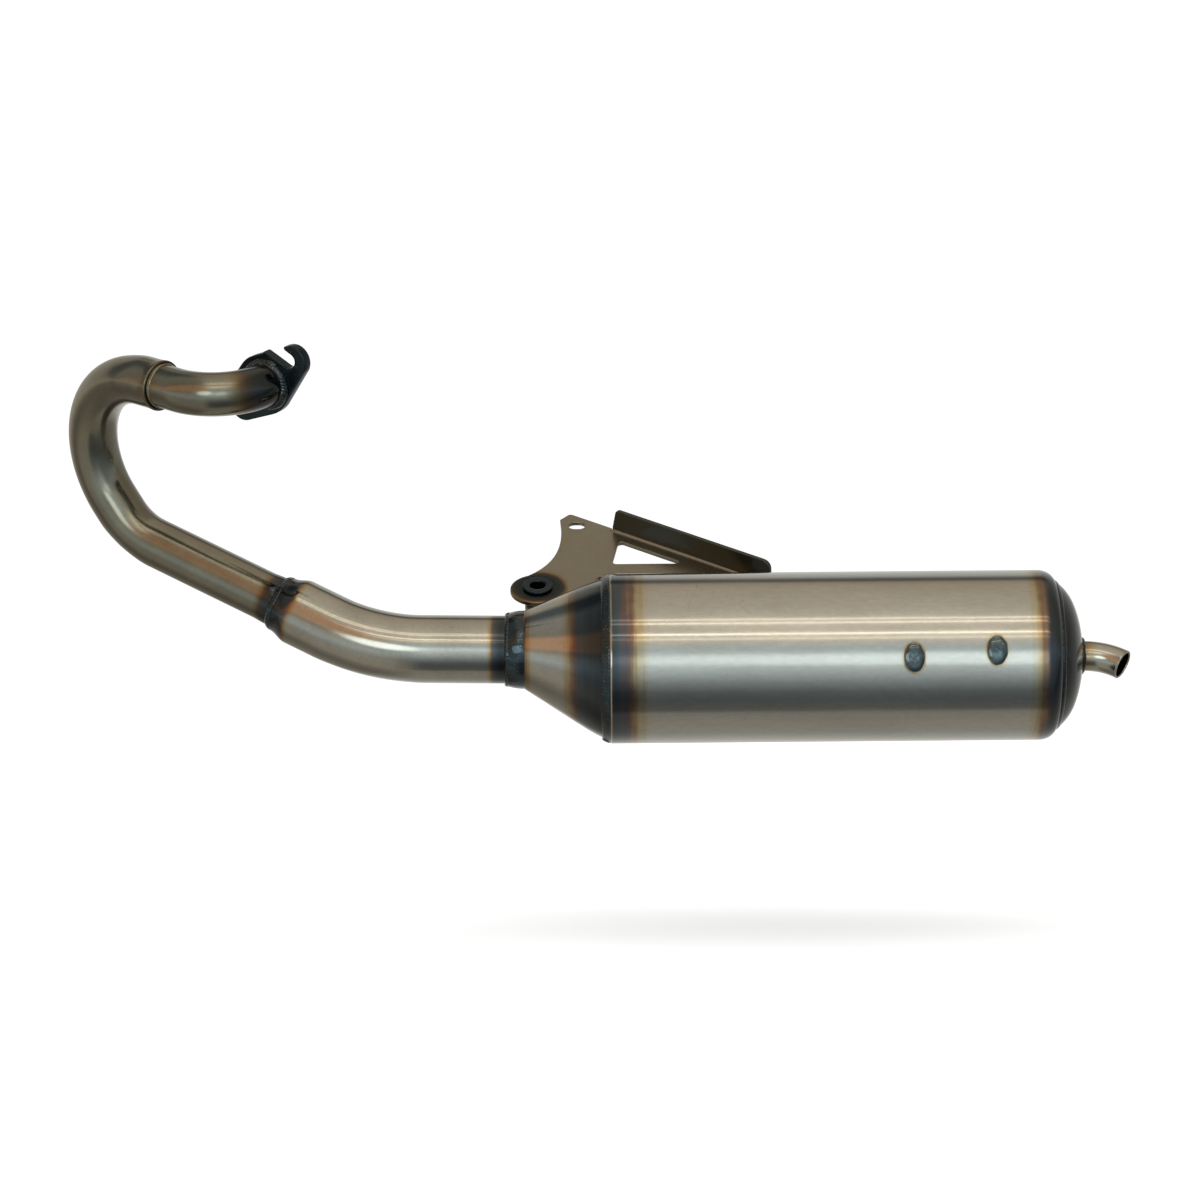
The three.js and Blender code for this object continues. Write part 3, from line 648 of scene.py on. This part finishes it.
def silencer_shell():
    tip = SHELL_RADIUS - ROLLED_RADIUS
    shoulder = SHELL_END - SHOULDER
    inner = SHELL_RADIUS - SHEET
    angles = np.linspace(0, math.pi / 2 * 0.86, 14)
    reach, drop = math.sin(angles[-1]), 1 - math.cos(angles[-1])
    rolled = [(shoulder + SHOULDER * math.sin(a) / reach, SHELL_RADIUS - tip * (1 - math.cos(a)) / drop)
              for a in angles]
    edge = [(SHELL_START, inner + 0.3), (SHELL_START, SHELL_RADIUS - 0.35),
            (SHELL_START + 0.12, SHELL_RADIUS - 0.1)]
    long_run = [(x, SHELL_RADIUS) for x in np.arange(SHELL_START + 0.4, shoulder, 1.25)]
    inside = [(x - 0.9, radius - SHEET) for x, radius in rolled[::-3]]
    inside += [(x, inner) for x in (shoulder - 60, shoulder - 120, SHELL_START + 60, SHELL_START + 0.3)]
    turned_sheet("silencer_can", "silencer_shell", edge + long_run + rolled + inside, 240, shell_heat)


def cone_radius(x):
    """The cone's outside radius, with the corner at its mouth rounded."""
    slope = (CONE_LARGE - CONE_SMALL) / (CONE_MOUTH - CONE_START)
    straight = CONE_SMALL + slope * (x - CONE_START)
    soft = 2.2
    return CONE_LIP - soft * math.log1p(math.exp((CONE_LIP - straight) / soft))


def cone_lift(x):
    """How far the cone's centre is above the silencer's axis; it is eccentric."""
    return CONE_LIFT * (CONE_MOUTH - x) / (CONE_MOUTH - CONE_START)


def inlet_cone():
    outside = [(x, cone_radius(x)) for x in np.linspace(CONE_START + 0.4, CONE_END, 96)]
    lip = [(CONE_START, CONE_SMALL - 2.4), (CONE_START, cone_radius(CONE_START) - 0.4)]
    inside = [(x, radius - SHEET) for x, radius in outside[::-12]]

    def heat_of(points):
        rear = np.interp(CONE_END - points[:, 0], (10, 22, 27, 33), (0.92, 0.60, 0.32, 0.0))
        return np.maximum(rear, 0.42 * cooling(points[:, 0] - CONE_START, 0, 6))
    turned_sheet("cone_sheet", "inlet_cone", lip + outside + inside, 216, heat_of,
                 lambda x: max(0, cone_lift(x)))


def end_cap():
    """The domed cap, its rim pushed into the shell and welded there."""
    rim_start, rim_radius = 450, 42.6
    rim = [(rim_start, rim_radius), (454.6, rim_radius), (455.2, 43.9)]
    dome = [(455.7, 44.0), (458, 42.3), (461.4, 39.0), (464.6, 34.6), (467.3, 28.8), (469.4, 22),
            (470.8, 15), (CAP_END, 9.2)]
    outside = rim + [tuple(point) for point in smooth_through(dome, 6)]
    inside = [(x - SHEET, radius - 0.6) for x, radius in outside[::-4] if x > 458]
    inside += [(x, rim_radius - SHEET) for x in (455, rim_start)]

    def heat_of(points):
        radius = np.hypot(points[:, 1] - AXIS[1], points[:, 2] - AXIS[2])
        return np.maximum(0.95 * cooling(44 - radius, 8, 40), 0.42)
    turned_sheet("cap_sheet", "end_cap", outside + inside, 216, heat_of)


def plug_weld(name):
    """An oval dome of weld metal, wrapped on the shell, with the swirl of its bead."""
    plug_x, plug_turn = plug_place(name)
    rings, sides = 26, 96
    angles = circle(sides)
    turns = angles / (2 * math.pi)
    ragged = 1 + 0.018 * wobble(turns, len(name))
    points, heats = [], []
    for share in np.arange(1, rings + 1) / rings:
        dome = (1 - share**2.4) ** 0.55
        swirl = share * np.cos(2 * math.pi * (share * 2.5 + turns))
        height = PLUG_RISE * dome * (1 + 0.04 * np.sin(3 * angles + 1)) + 0.025 * swirl * dome
        x = plug_x + PLUG_HALF_WIDTH * share * ragged * np.cos(angles)
        turn = plug_turn + PLUG_HALF_LENGTH * share * ragged * np.sin(angles) / SHELL_RADIUS
        radius = SHELL_RADIUS - 0.05 + height
        points.append(AXIS + np.stack([x, radius * np.cos(turn), radius * np.sin(turn)], axis=1))
        heats.append(np.full(sides, 0.8 if share < 0.9 else 0.0))
    buried = points[-1].copy()
    buried[:, 1:] = AXIS[1:] + (buried[:, 1:] - AXIS[1:]) * (1 - 0.5 / SHELL_RADIUS)
    points.append(buried)
    heats.append(np.full(sides, 0.5))
    faces = grid_faces(rings + 1, sides, close_rows=False)
    faces.append(tuple(range(sides)))
    faces.append(tuple(range(rings * sides, (rings + 1) * sides)))
    make_piece(name + "_dome", np.vstack(points), faces, WELD_PLUG, [name], np.hstack(heats))


TAIL_FOOT = CAP_END - TAIL_CORNERS[0][0]  # where the tail pipe leaves the cap, along its length


def tail_pipe():
    def radius_at(station, bend, lean):
        return flattened(TAIL_RADIUS, bend, lean, 0.02, 0.008)

    def heat_at(station):
        return float(0.30 * cooling(abs(station - TAIL_FOOT), 1, 9))
    tube("tail_pipe", TAIL, 0, TAIL.length, radius_at, heat_at, TAIL_WALL, TUBE_STEEL, sides=64, step=0.8,
         lip=0.4)


silencer_shell()
inlet_cone()
end_cap()
tail_pipe()
for plug in PLUGS:
    plug_weld(plug)
silencer_weld("cone_weld", 192.1, 48.5, 0.45, 5.5, 0.5, WELD_BLUE, 2.1, 0.2, 21, waver=0.5)
silencer_weld("cap_weld", 456.6, 43.3, -0.83, 3.0, 0.45, WELD_BLUE, 2.0, 0.10, 23, waver=0.6)
pipe_weld("tail_weld", TAIL, TAIL_FOOT, TAIL_RADIUS, 2.0, 2.3, WELD_BLUE, 1.6, 0.2, 29)


# ---- plates cut from sheet

def arc_points(x, y, radius, first, last, step=7):
    """Points on an arc, in degrees, anticlockwise when last is the larger."""
    count = max(2, int(abs(last - first) / step) + 1)
    return [(x + radius * math.cos(math.radians(a)), y + radius * math.sin(math.radians(a)))
            for a in np.linspace(first, last, count)]


def capsule(from_x, from_y, to_x, to_y, width):
    """A slot's outline, anticlockwise."""
    heading = math.degrees(math.atan2(to_y - from_y, to_x - from_x))
    ends = arc_points(to_x, to_y, width / 2, heading - 90, heading + 90)
    return ends + arc_points(from_x, from_y, width / 2, heading + 90, heading + 270)


def hull(circles, count=120):
    """The convex outline round circles given as (x, y, radius), anticlockwise."""
    angles = [k * 2 * math.pi / count for k in range(count)]
    points = sorted((x + r * math.cos(a), y + r * math.sin(a)) for x, y, r in circles for a in angles)

    def chain(ordered):
        kept = []
        for p in ordered:
            while len(kept) > 1:
                (ax, ay), (bx, by) = kept[-2:]
                if (bx - ax) * (p[1] - ay) - (by - ay) * (p[0] - ax) > 1e-9:
                    break
                kept.pop()
            kept.append(p)
        return kept[:-1]
    return chain(points) + chain(points[::-1])


def evenly(loop, spacing):
    """The closed loop with its long sides divided."""
    points = []
    for a, b in zip(loop, loop[1:] + loop[:1]):
        parts = max(1, round(math.dist(a, b) / spacing))
        for k in range(parts):
            points.append((a[0] + (b[0] - a[0]) * k / parts, a[1] + (b[1] - a[1]) * k / parts))
    return points


def bezier(*controls, count=14):
    """Points on a quadratic or cubic curve, without its first point."""
    order = len(controls) - 1
    line = []
    for t in np.linspace(0, 1, count)[1:]:
        point = sum(math.comb(order, k) * (1 - t) ** (order - k) * t**k * np.array(control, float)
                    for k, control in enumerate(controls))
        line.append(tuple(point))
    return line


def slice_up(work, through, across):
    """Cuts a bmesh along the plane through a point, across a direction."""
    whole = work.verts[:] + work.edges[:] + work.faces[:]
    bmesh.ops.bisect_plane(work, geom=whole, plane_co=Vector(through), plane_no=Vector(across), dist=1e-4)


def cut_plate(outline, holes, low, high, bevel, cell):
    """A plate between two heights, with rounded edges. The outline and the holes are
    anticlockwise. Returns a bmesh in millimetres, cut into square cells."""
    work = bmesh.new()
    quarter = np.linspace(0, math.pi / 2, 4)
    rows = [(bevel * (1 - math.sin(a)), low + bevel * (1 - math.cos(a))) for a in quarter]
    rows += [(bevel * (1 - math.sin(a)), high - bevel * (1 - math.cos(a))) for a in quarter[::-1]]
    loops = [np.array(outline, float)] + [np.array(hole, float)[::-1] for hole in holes]
    top, bottom = [], []
    for loop in loops:
        ahead = np.roll(loop, -1, axis=0) - loop
        ahead /= np.linalg.norm(ahead, axis=1)[:, None]
        behind = np.roll(ahead, 1, axis=0)
        mean = ahead + behind
        mean /= np.linalg.norm(mean, axis=1)[:, None]
        stretch = 1 / np.clip(np.sum(mean * ahead, axis=1), 0.5, 1)
        outward = np.stack([mean[:, 1], -mean[:, 0]], axis=1) * stretch[:, None]
        rings = []
        for inset, height in rows:
            rings.append([work.verts.new((*(p - n * inset), height)) for p, n in zip(loop, outward)])
        for lower, upper in zip(rings, rings[1:]):
            for k in range(len(loop)):
                after = (k + 1) % len(loop)
                work.faces.new((lower[k], lower[after], upper[after], upper[k])).smooth = True
        bottom.append(rings[0])
        top.append(rings[-1])
    for sheet in (top, bottom):
        flat = [vert for ring in sheet for vert in ring]
        for triangle in tessellate_polygon([[vert.co for vert in ring] for ring in sheet]):
            work.faces.new([flat[k] for k in triangle]).smooth = False
    spread = [vert.co.copy() for vert in work.verts]
    for axis in (0, 1):
        low_side, high_side = min(p[axis] for p in spread), max(p[axis] for p in spread)
        across = np.eye(3)[axis]
        for place in np.arange(low_side + cell, high_side, cell):
            slice_up(work, across * place, across)
    return work


def placed(local, turn, origin):
    """Points drawn in a plate's own frame, put where the plate is."""
    return local @ turn.T + origin


def finish_plate(name, work, where, material, node, heat_of):
    """Turns a plate's bmesh into a piece. heat_of gives the temper at its local points."""
    bmesh.ops.recalc_face_normals(work, faces=work.faces)
    local = np.array([vert.co for vert in work.verts])
    work.verts.index_update()
    faces = [tuple(vert.index for vert in face.verts) for face in work.faces]
    flat = [i for i, face in enumerate(work.faces) if not face.smooth]
    work.free()
    return make_piece(name, placed(local, *where), faces, material, [node], heat_of(local), flat)


# ---- flange

STUD = STUD_RADIUS * np.array([math.sin(STUD_TILT), math.cos(STUD_TILT)])  # in the plate's frame


def flange_outline():
    """The plate's edge with the open stud slot let into it, its lips rounded off."""
    x, y = STUD
    end = 9.8  # radius of the plate's ends
    circles = [(-0.8, -3.2, 18), (x + 1.8, y + 1.4, end), (-x - 1.8, -y - 0.8, end), (-x - 8, -y + 3, end)]
    edge = np.array(evenly(hull(circles), 0.6))
    way = np.array([math.cos(SLOT_TILT), math.sin(SLOT_TILT)])  # from the slot's mouth to its end
    beside = np.array([-way[1], way[0]])
    half = SLOT_WIDTH / 2
    off = edge - STUD
    in_slot = (off @ way < 0) & (np.abs(off @ beside) < half + 1.2)
    first = np.flatnonzero(np.roll(in_slot, 1) & ~in_slot)[0]
    kept = [tuple(point) for point in np.roll(edge, -first, axis=0)[~np.roll(in_slot, -first)]]
    side = 1 if (np.array(kept[-1]) - STUD) @ beside > 0 else -1

    def lip(from_edge, side):
        """The corner and the wall's first point, where the plate's edge turns into the slot."""
        reach = (np.array(from_edge) - STUD) @ way
        corner = STUD + way * (reach + side * 0.45) + beside * half * side
        return corner, STUD + way * (reach + 2.2) + beside * half * side
    down_corner, down_wall = lip(kept[0], -side)
    heading = math.degrees(SLOT_TILT)
    path = kept + bezier(kept[-1], *lip(kept[-1], side), count=8)
    path += arc_points(*STUD, half, heading + 90 * side, heading - 90 * side)
    path += [tuple(down_wall)] + bezier(down_wall, down_corner, kept[0], count=8)[:-1]
    return path


def flange():
    out = unit(np.array(HEADER_CORNERS[1], float))
    across = unit(np.cross(out, (0, 1, 0)))
    where = (np.stack([across, np.cross(out, across), out], axis=1), np.zeros(3))
    closed_slot = capsule(-STUD[0] - 3, -STUD[1], *-STUD, SLOT_WIDTH)
    bore = arc_points(0, 0, FRONT_RADIUS + 0.15, 0, 355, 5)
    work = cut_plate(flange_outline(), [closed_slot, bore], 0, FLANGE_THICKNESS, 0.7, cell=2.0)

    def worn(local):
        """Where nuts and spanners have rubbed the scale."""
        open_end = cooling(np.linalg.norm(local[:, :2] - STUD, axis=1) - SLOT_WIDTH / 2, 1.5, 5)
        return np.maximum(open_end, 0.5 * cooling(np.linalg.norm(local[:, :2] + STUD, axis=1), 7, 4))
    finish_plate("flange_plate", work, where, FLANGE_SCALE, "cylinder_flange", worn)


flange()


# ---- bracket

ALONG, UP_SLOPE, OUT_OF_PLATE = np.array([
    (1, 0, 0),
    (0, math.cos(PLATE_PITCH), math.sin(PLATE_PITCH)),
    (0, -math.sin(PLATE_PITCH), math.cos(PLATE_PITCH)),
])
BRACKET_WHERE = (np.stack([ALONG, UP_SLOPE, OUT_OF_PLATE], axis=1), AXIS + OUT_OF_PLATE * PLATE_HEIGHT)
FOLD_ALONG = np.array([math.cos(FOLD_TURN), math.sin(FOLD_TURN)])
FOLD_OUT = np.array([-math.sin(FOLD_TURN), math.cos(FOLD_TURN)])
FLAT_END = -(PLATE_THICKNESS + FOLD_RADIUS)  # where the fold starts, short of the strip's face
MIDDLE_BEND = FOLD_RADIUS + PLATE_THICKNESS / 2
STRIP_REACH = FLAT_END + MIDDLE_BEND * math.pi / 2 + FOLD_HEIGHT - FOLD_RADIUS
LANDING = math.sqrt(SHELL_RADIUS**2 - PLATE_HEIGHT**2) - 0.1


def on_fold(along, out):
    """A point given along and outward of the fold line, in the flat plate's frame."""
    return tuple(np.array(FOLD_AT) + FOLD_ALONG * along + FOLD_OUT * out)


def cone_landing(x):
    """How far up its slope the plate's top face meets the cone."""
    height = PLATE_HEIGHT - cone_lift(x) * math.cos(PLATE_PITCH)
    return cone_lift(x) * math.sin(PLATE_PITCH) + math.sqrt(cone_radius(x) ** 2 - height**2) - 0.3


def bracket_outline():
    """The plate before it is folded, from the window's side round to the bush's lobe."""
    lobe_x, lobe_up, lobe_radius = 151.5, 41, 15.8
    notch_x, notch_half, notch_top = 191.2, 4.7, 49.7
    tip, shoulder = (171, 128), (164.9, 121)
    near_tip = on_fold(-30, 0)

    def rounded(*places, count):
        """A corner of the strip, given as places along and outward of the fold line."""
        controls = [on_fold(*place) for place in places]
        return controls[:1] + bezier(*controls, count=count)
    outline = [(notch_x + notch_half, LANDING), (285, LANDING), (287, LANDING - 3), on_fold(FOLD_LENGTH, -5)]
    outline += rounded((FOLD_LENGTH, STRIP_REACH - 6), (FOLD_LENGTH, STRIP_REACH),
                       (FOLD_LENGTH - 6, STRIP_REACH), count=9)
    outline += rounded((5, STRIP_REACH), (2.6, STRIP_REACH), (2.2, STRIP_REACH - 2.4), count=7)
    relief = [(0.4, 1.5), (0, FLAT_END + 0.4), (-0.5, FLAT_END), (-1, FLAT_END + 0.4), (-1.2, -0.6),
              (-1.8, 0)]
    outline += [on_fold(*place) for place in relief]
    outline += [near_tip] + bezier(near_tip, tip, (169.6, 126.4), count=8)
    outline += [shoulder] + bezier(shoulder, (167, 97), (166, 72), (146.1, 55.9), count=30)
    outline += arc_points(lobe_x, lobe_up, lobe_radius, 110, 270)[1:]
    outline += [(x, cone_landing(x)) for x in np.linspace(160.5, notch_x - notch_half, 10)]
    outline += arc_points(notch_x, notch_top, notch_half, 180, 0)
    return outline


def fold(work):
    """Bends the strip of a flat plate up, and makes the faces round the fold smooth."""
    bend = MIDDLE_BEND * math.pi / 2
    for place in np.linspace(FLAT_END, FLAT_END + bend, 13):
        slice_up(work, (*on_fold(0, place), 0), (*FOLD_OUT, 0))
    curved = set()
    for vert in work.verts:
        off = np.array(vert.co[:2]) - FOLD_AT
        along, out = float(off @ FOLD_ALONG), float(off @ FOLD_OUT)
        if along < -0.6 or out <= FLAT_END:
            continue
        lever = FOLD_RADIUS - vert.co.z
        angle = min(out - FLAT_END, bend) / MIDDLE_BEND
        rest = max(0, out - FLAT_END - bend)
        folded_out = FLAT_END + lever * math.sin(angle) + rest * math.cos(angle)
        folded_up = FOLD_RADIUS - lever * math.cos(angle) + rest * math.sin(angle)
        vert.co = Vector((*on_fold(along, folded_out), folded_up))
        if rest == 0:
            curved.add(vert)
    for face in work.faces:
        if all(vert in curved for vert in face.verts):
            face.smooth = True


def bracket_plate():
    """The bracket, cut flat and then folded up along its sloping edge; its folded strip gets a darker copy
    of the steel as painted shade.
    """
    window = hull([(199.4, 71, 2.6), (202.6, 91.2, 2.6), (235, 70, 1.6)], 48)
    bolt_slot = capsule(174.1, 113.8, 176.3, 113.8, 8)
    bush_hole = arc_points(*BUSH_AT, 8.0, 0, 355, 5)
    work = cut_plate(bracket_outline(), [window, bolt_slot, bush_hole], -PLATE_THICKNESS, 0, 0.35, cell=3.2)
    fold(work)
    heights = np.array([face.calc_center_median().z for face in work.faces])

    def heat_of(local):
        round_bush = 0.8 * cooling(np.linalg.norm(local[:, :2] - BUSH_AT, axis=1), 12, 7)
        along_shell = 0.55 * cooling(local[:, 1] - LANDING, 0, 9) * (local[:, 0] > 196)
        off = local[:, :2] - FOLD_AT
        return np.maximum(round_bush, along_shell * cooling(off @ FOLD_OUT, -8, 4))
    sheet = finish_plate("bracket_sheet", work, BRACKET_WHERE, BRACKET_STEEL,
                         "bracket_plate", heat_of)
    # Painted shade: the faces folded up into the strip get the darker copy of the bracket steel.
    sheet.data.materials.append(STRIP_PAINTED_SHADE)
    folded_up = (heights > FOLD_RADIUS * 0.6).astype(np.int32)
    sheet.data.polygons.foreach_set("material_index", folded_up)


def bracket_bush():
    """The stepped bush, turned with small chamfers, its head on the plate."""
    head_top, shank_end, bore = 1.6, -22.0, 4.6
    profile = [
        (bore + 0.5, head_top), (8.6, head_top), (8.9, head_top - 0.12), (9.0, head_top - 0.4), (9.0, 0.25),
        (8.8, 0.05), (7.8, 0.02), (7.8, -0.2), (7.8, shank_end + 0.8), (7.65, shank_end + 0.3),
        (7.2, shank_end), (bore + 0.6, shank_end), (bore + 0.1, shank_end + 0.2), (bore, shank_end + 0.6),
        (bore, -10), (bore, head_top - 0.5), (bore + 0.12, head_top - 0.2),
    ]
    sides = 72
    x, y = np.cos(circle(sides)), np.sin(circle(sides))
    rings = [np.stack([BUSH_AT[0] + radius * x, BUSH_AT[1] + radius * y, np.full(sides, z)], axis=1)
             for radius, z in profile]
    points = placed(np.vstack(rings), *BRACKET_WHERE)
    faces = grid_faces(len(profile), sides, close_rows=True)
    heat = np.repeat([0.5 if z > 0 else 0.2 for _, z in profile], sides)
    make_piece("bush_turned", points, faces, FLANGE_SCALE, ["bracket_bush"], heat)


def bracket_weld(name, seed):
    """A fillet on the shell along the plate's top face, as long as its CAD node."""
    low, high = box_mm(name)
    leg = 3.4
    x = np.arange(low[0], high[0], 0.25)
    centres = placed(np.stack([x, np.full(len(x), LANDING), np.zeros(len(x))], axis=1), *BRACKET_WHERE)
    outward = np.tile(OUT_OF_PLATE, (len(x), 1))
    across = np.tile(UP_SLOPE, (len(x), 1))
    ends = np.sqrt(np.clip(np.minimum(x - low[0], high[0] - x) / 2.5, 0.02, 1))
    bead(name, centres, outward, across, leg, leg * ends, WELD_BLUE, 1.9, 0.22, seed, closed=False)


bracket_plate()
bracket_bush()
bracket_weld("bracket_weld_1", 31)
bracket_weld("bracket_weld_2", 37)

TRANSFER_TUBES = ["transfer_tube_upper", "transfer_tube_lower"]
for node in ["reflector_cone", "stinger_tube", "front_partition", "rear_partition"] + TRANSFER_TUBES:
    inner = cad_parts[node]
    inner.data.materials.clear()
    inner.data.materials.append(INNER_STEEL)


# ---- studio, light, camera

FLOOR_DROP = 110  # the exhaust hangs this far above the floor
CAMERA_AT = (189.0, 26.6 - 2059.0, -128.8)
CAMERA_ROLL = math.radians(0.5)
LENS = 105

WARM, MILD, EVEN, COOL = (1.0, 0.87, 0.69), (1.0, 0.93, 0.80), (1.0, 1.0, 0.95), (0.86, 1.0, 1.06)
TIMBER = (1.0, 0.64, 0.42)
LAMP = 6.5

# Light seen by the metal: degrees of elevation from the camera's side, over the top to the
# far side; brightness; tint.
SKY = [
    (-180, 0.70, EVEN), (-121, 0.33, EVEN), (-98, 0.33, MILD), (-80, 0.26, EVEN), (-75, 0.13, EVEN),
    (-58, 0.11, COOL), (-47, 0.15, COOL), (-33, 0.34, COOL), (-19, 0.66, COOL), (-8, 0.90, COOL),
    (2, 0.90, COOL), (12, 0.66, COOL), (25.2, 0.80, MILD), (26, LAMP, MILD), (26.8, 0.80, MILD),
    (31.2, 0.80, MILD), (32, LAMP, MILD), (32.8, 0.78, MILD), (46.5, 0.80, MILD), (47.3, LAMP, MILD),
    (48.1, 0.80, MILD), (53.2, 0.80, MILD), (54, LAMP, MILD), (54.8, 0.74, MILD), (72, 0.60, MILD),
    (112, 0.46, WARM), (120, 0.38, WARM), (126, 0.10, EVEN), (131, 0.12, EVEN), (140, 0.45, EVEN),
    (180, 0.70, EVEN),
]
SKY_LEFT = [
    (-180, 0.45, MILD), (-150, 0.25, MILD), (-112, 0.17, MILD), (-97, 0.22, MILD), (-80, 0.34, MILD),
    (-45, 0.36, EVEN), (-25, 0.55, COOL), (-10, 0.48, EVEN), (4, 0.34, MILD), (12, 0.60, TIMBER),
    (40, 0.56, TIMBER), (49, 0.26, MILD), (86, 0.30, EVEN), (100, 0.11, COOL), (114, 0.10, COOL),
    (126, 0.38, MILD), (150, 0.42, MILD), (180, 0.45, MILD),
]
SKY_RIGHT = [
    (-180, 0.34, EVEN), (-110, 0.24, MILD), (-60, 0.12, COOL), (-20, 0.28, COOL), (5, 0.45, COOL),
    (40, 0.34, MILD), (110, 0.28, WARM), (150, 0.30, EVEN), (180, 0.34, EVEN),
]
WINDOWS = [  # direction; half-angle in degrees, inside its soft edge and outside; brightness
    ((-0.26, -0.96, 0.0), 5, 13, 1.6),
    ((0.14, -0.99, -0.04), 4, 11, 0.55),
]


def studio_world():
    """Window, lamps, walls and ceiling as bands of light about the X axis."""
    world = bpy.data.worlds.new("studio")
    bpy.context.scene.world = world
    world.use_nodes = True
    nodes = Nodes(world.node_tree)
    place = nodes.node("ShaderNodeTexCoord").outputs["Generated"]
    way = nodes.node("ShaderNodeSeparateXYZ")
    nodes.feed(way.inputs[0], place)
    near_side = nodes.math("MULTIPLY", way.outputs["Y"], -1.0)
    elevation = nodes.math("ARCTAN2", way.outputs["Z"], near_side)
    share = nodes.span(elevation, -math.pi, math.pi)

    def light(level, tint):
        return tuple(level / LAMP * channel for channel in tint)

    def bands(sky):
        stops = [((degrees + 180) / 360, light(level, tint)) for degrees, level, tint in sky]
        return nodes.ramp(share, stops)

    def blended(first, second, x_first, x_second):
        """One sky and, past x_second sideways, another."""
        return nodes.mix(nodes.span(way.outputs["X"], x_first, x_second, easing="SMOOTHSTEP"), first, second)

    to_right = blended(bands(SKY), bands(SKY_RIGHT), 0.16, 0.50)
    whole = blended(bands(SKY_LEFT), to_right, -0.30, -0.10)
    for direction, inner, outer, level in WINDOWS:
        toward = nodes.node("ShaderNodeVectorMath", operation="DOT_PRODUCT")
        nodes.feed(toward.inputs[0], place)
        toward.inputs[1].default_value = tuple(unit(np.array(direction)))
        edges = [math.cos(math.radians(degrees)) for degrees in (outer, inner)]
        pane = nodes.span(toward.outputs["Value"], *edges, easing="SMOOTHSTEP")
        whole = nodes.mix(pane, whole, light(level, COOL), "ADD")
    background = nodes.tree.nodes["Background"]
    nodes.feed(background.inputs["Color"], whole)
    background.inputs["Strength"].default_value = LAMP
    backdrop = nodes.node("ShaderNodeBackground")  # what the camera itself sees: white paper
    backdrop.inputs["Color"].default_value = (1, 1, 1, 1)
    backdrop.inputs["Strength"].default_value = 1.05
    seen = nodes.node("ShaderNodeMixShader")
    nodes.feed(seen.inputs["Fac"], nodes.node("ShaderNodeLightPath").outputs["Is Camera Ray"])
    nodes.feed(seen.inputs[1], background.outputs[0])
    nodes.feed(seen.inputs[2], backdrop.outputs[0])
    nodes.feed(nodes.tree.nodes["World Output"].inputs["Surface"], seen.outputs[0])


def floor():
    """A plain pale floor. Gloss looks past it, at the studio."""
    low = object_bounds()[0].z / MM - FLOOR_DROP
    half = 6000
    corners = [(x, y, low) for x, y in ((-half, -half), (half, -half), (half, half), (-half, half))]
    mesh = bpy.data.meshes.new("floor")
    mesh.from_pydata((np.array(corners, float) * MM).tolist(), [], [(0, 1, 2, 3)])
    shader = Shader("pale_floor")
    mesh.materials.append(shader.finish((0.84, 0.86, 0.89), 0.9, 0.0))
    made = add_object("floor", mesh)
    made.visible_glossy = False
    made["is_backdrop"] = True


def soft_light():
    """Even light from all over the ceiling, for the floor."""
    lamp = bpy.data.lights.new("ceiling", "SUN")
    lamp.energy = 3.4
    lamp.angle = math.radians(120)
    add_object("ceiling", lamp).visible_glossy = False


def camera():
    data = bpy.data.cameras.new("camera")
    data.lens = LENS
    data.sensor_width = 36
    data.clip_start, data.clip_end = 0.05, 50
    made = add_object("camera", data)
    c, s = math.cos(CAMERA_ROLL), math.sin(CAMERA_ROLL)
    turned = Matrix(((c, s, 0, 0), (0, 0, -1, 0), (-s, c, 0, 0), (0, 0, 0, 1)))
    made.matrix_world = Matrix.Translation(Vector(CAMERA_AT) * MM) @ turned
    bpy.context.scene.camera = made


studio_world()
floor()
soft_light()
camera()
bpy.context.scene.view_settings.view_transform = "Standard"
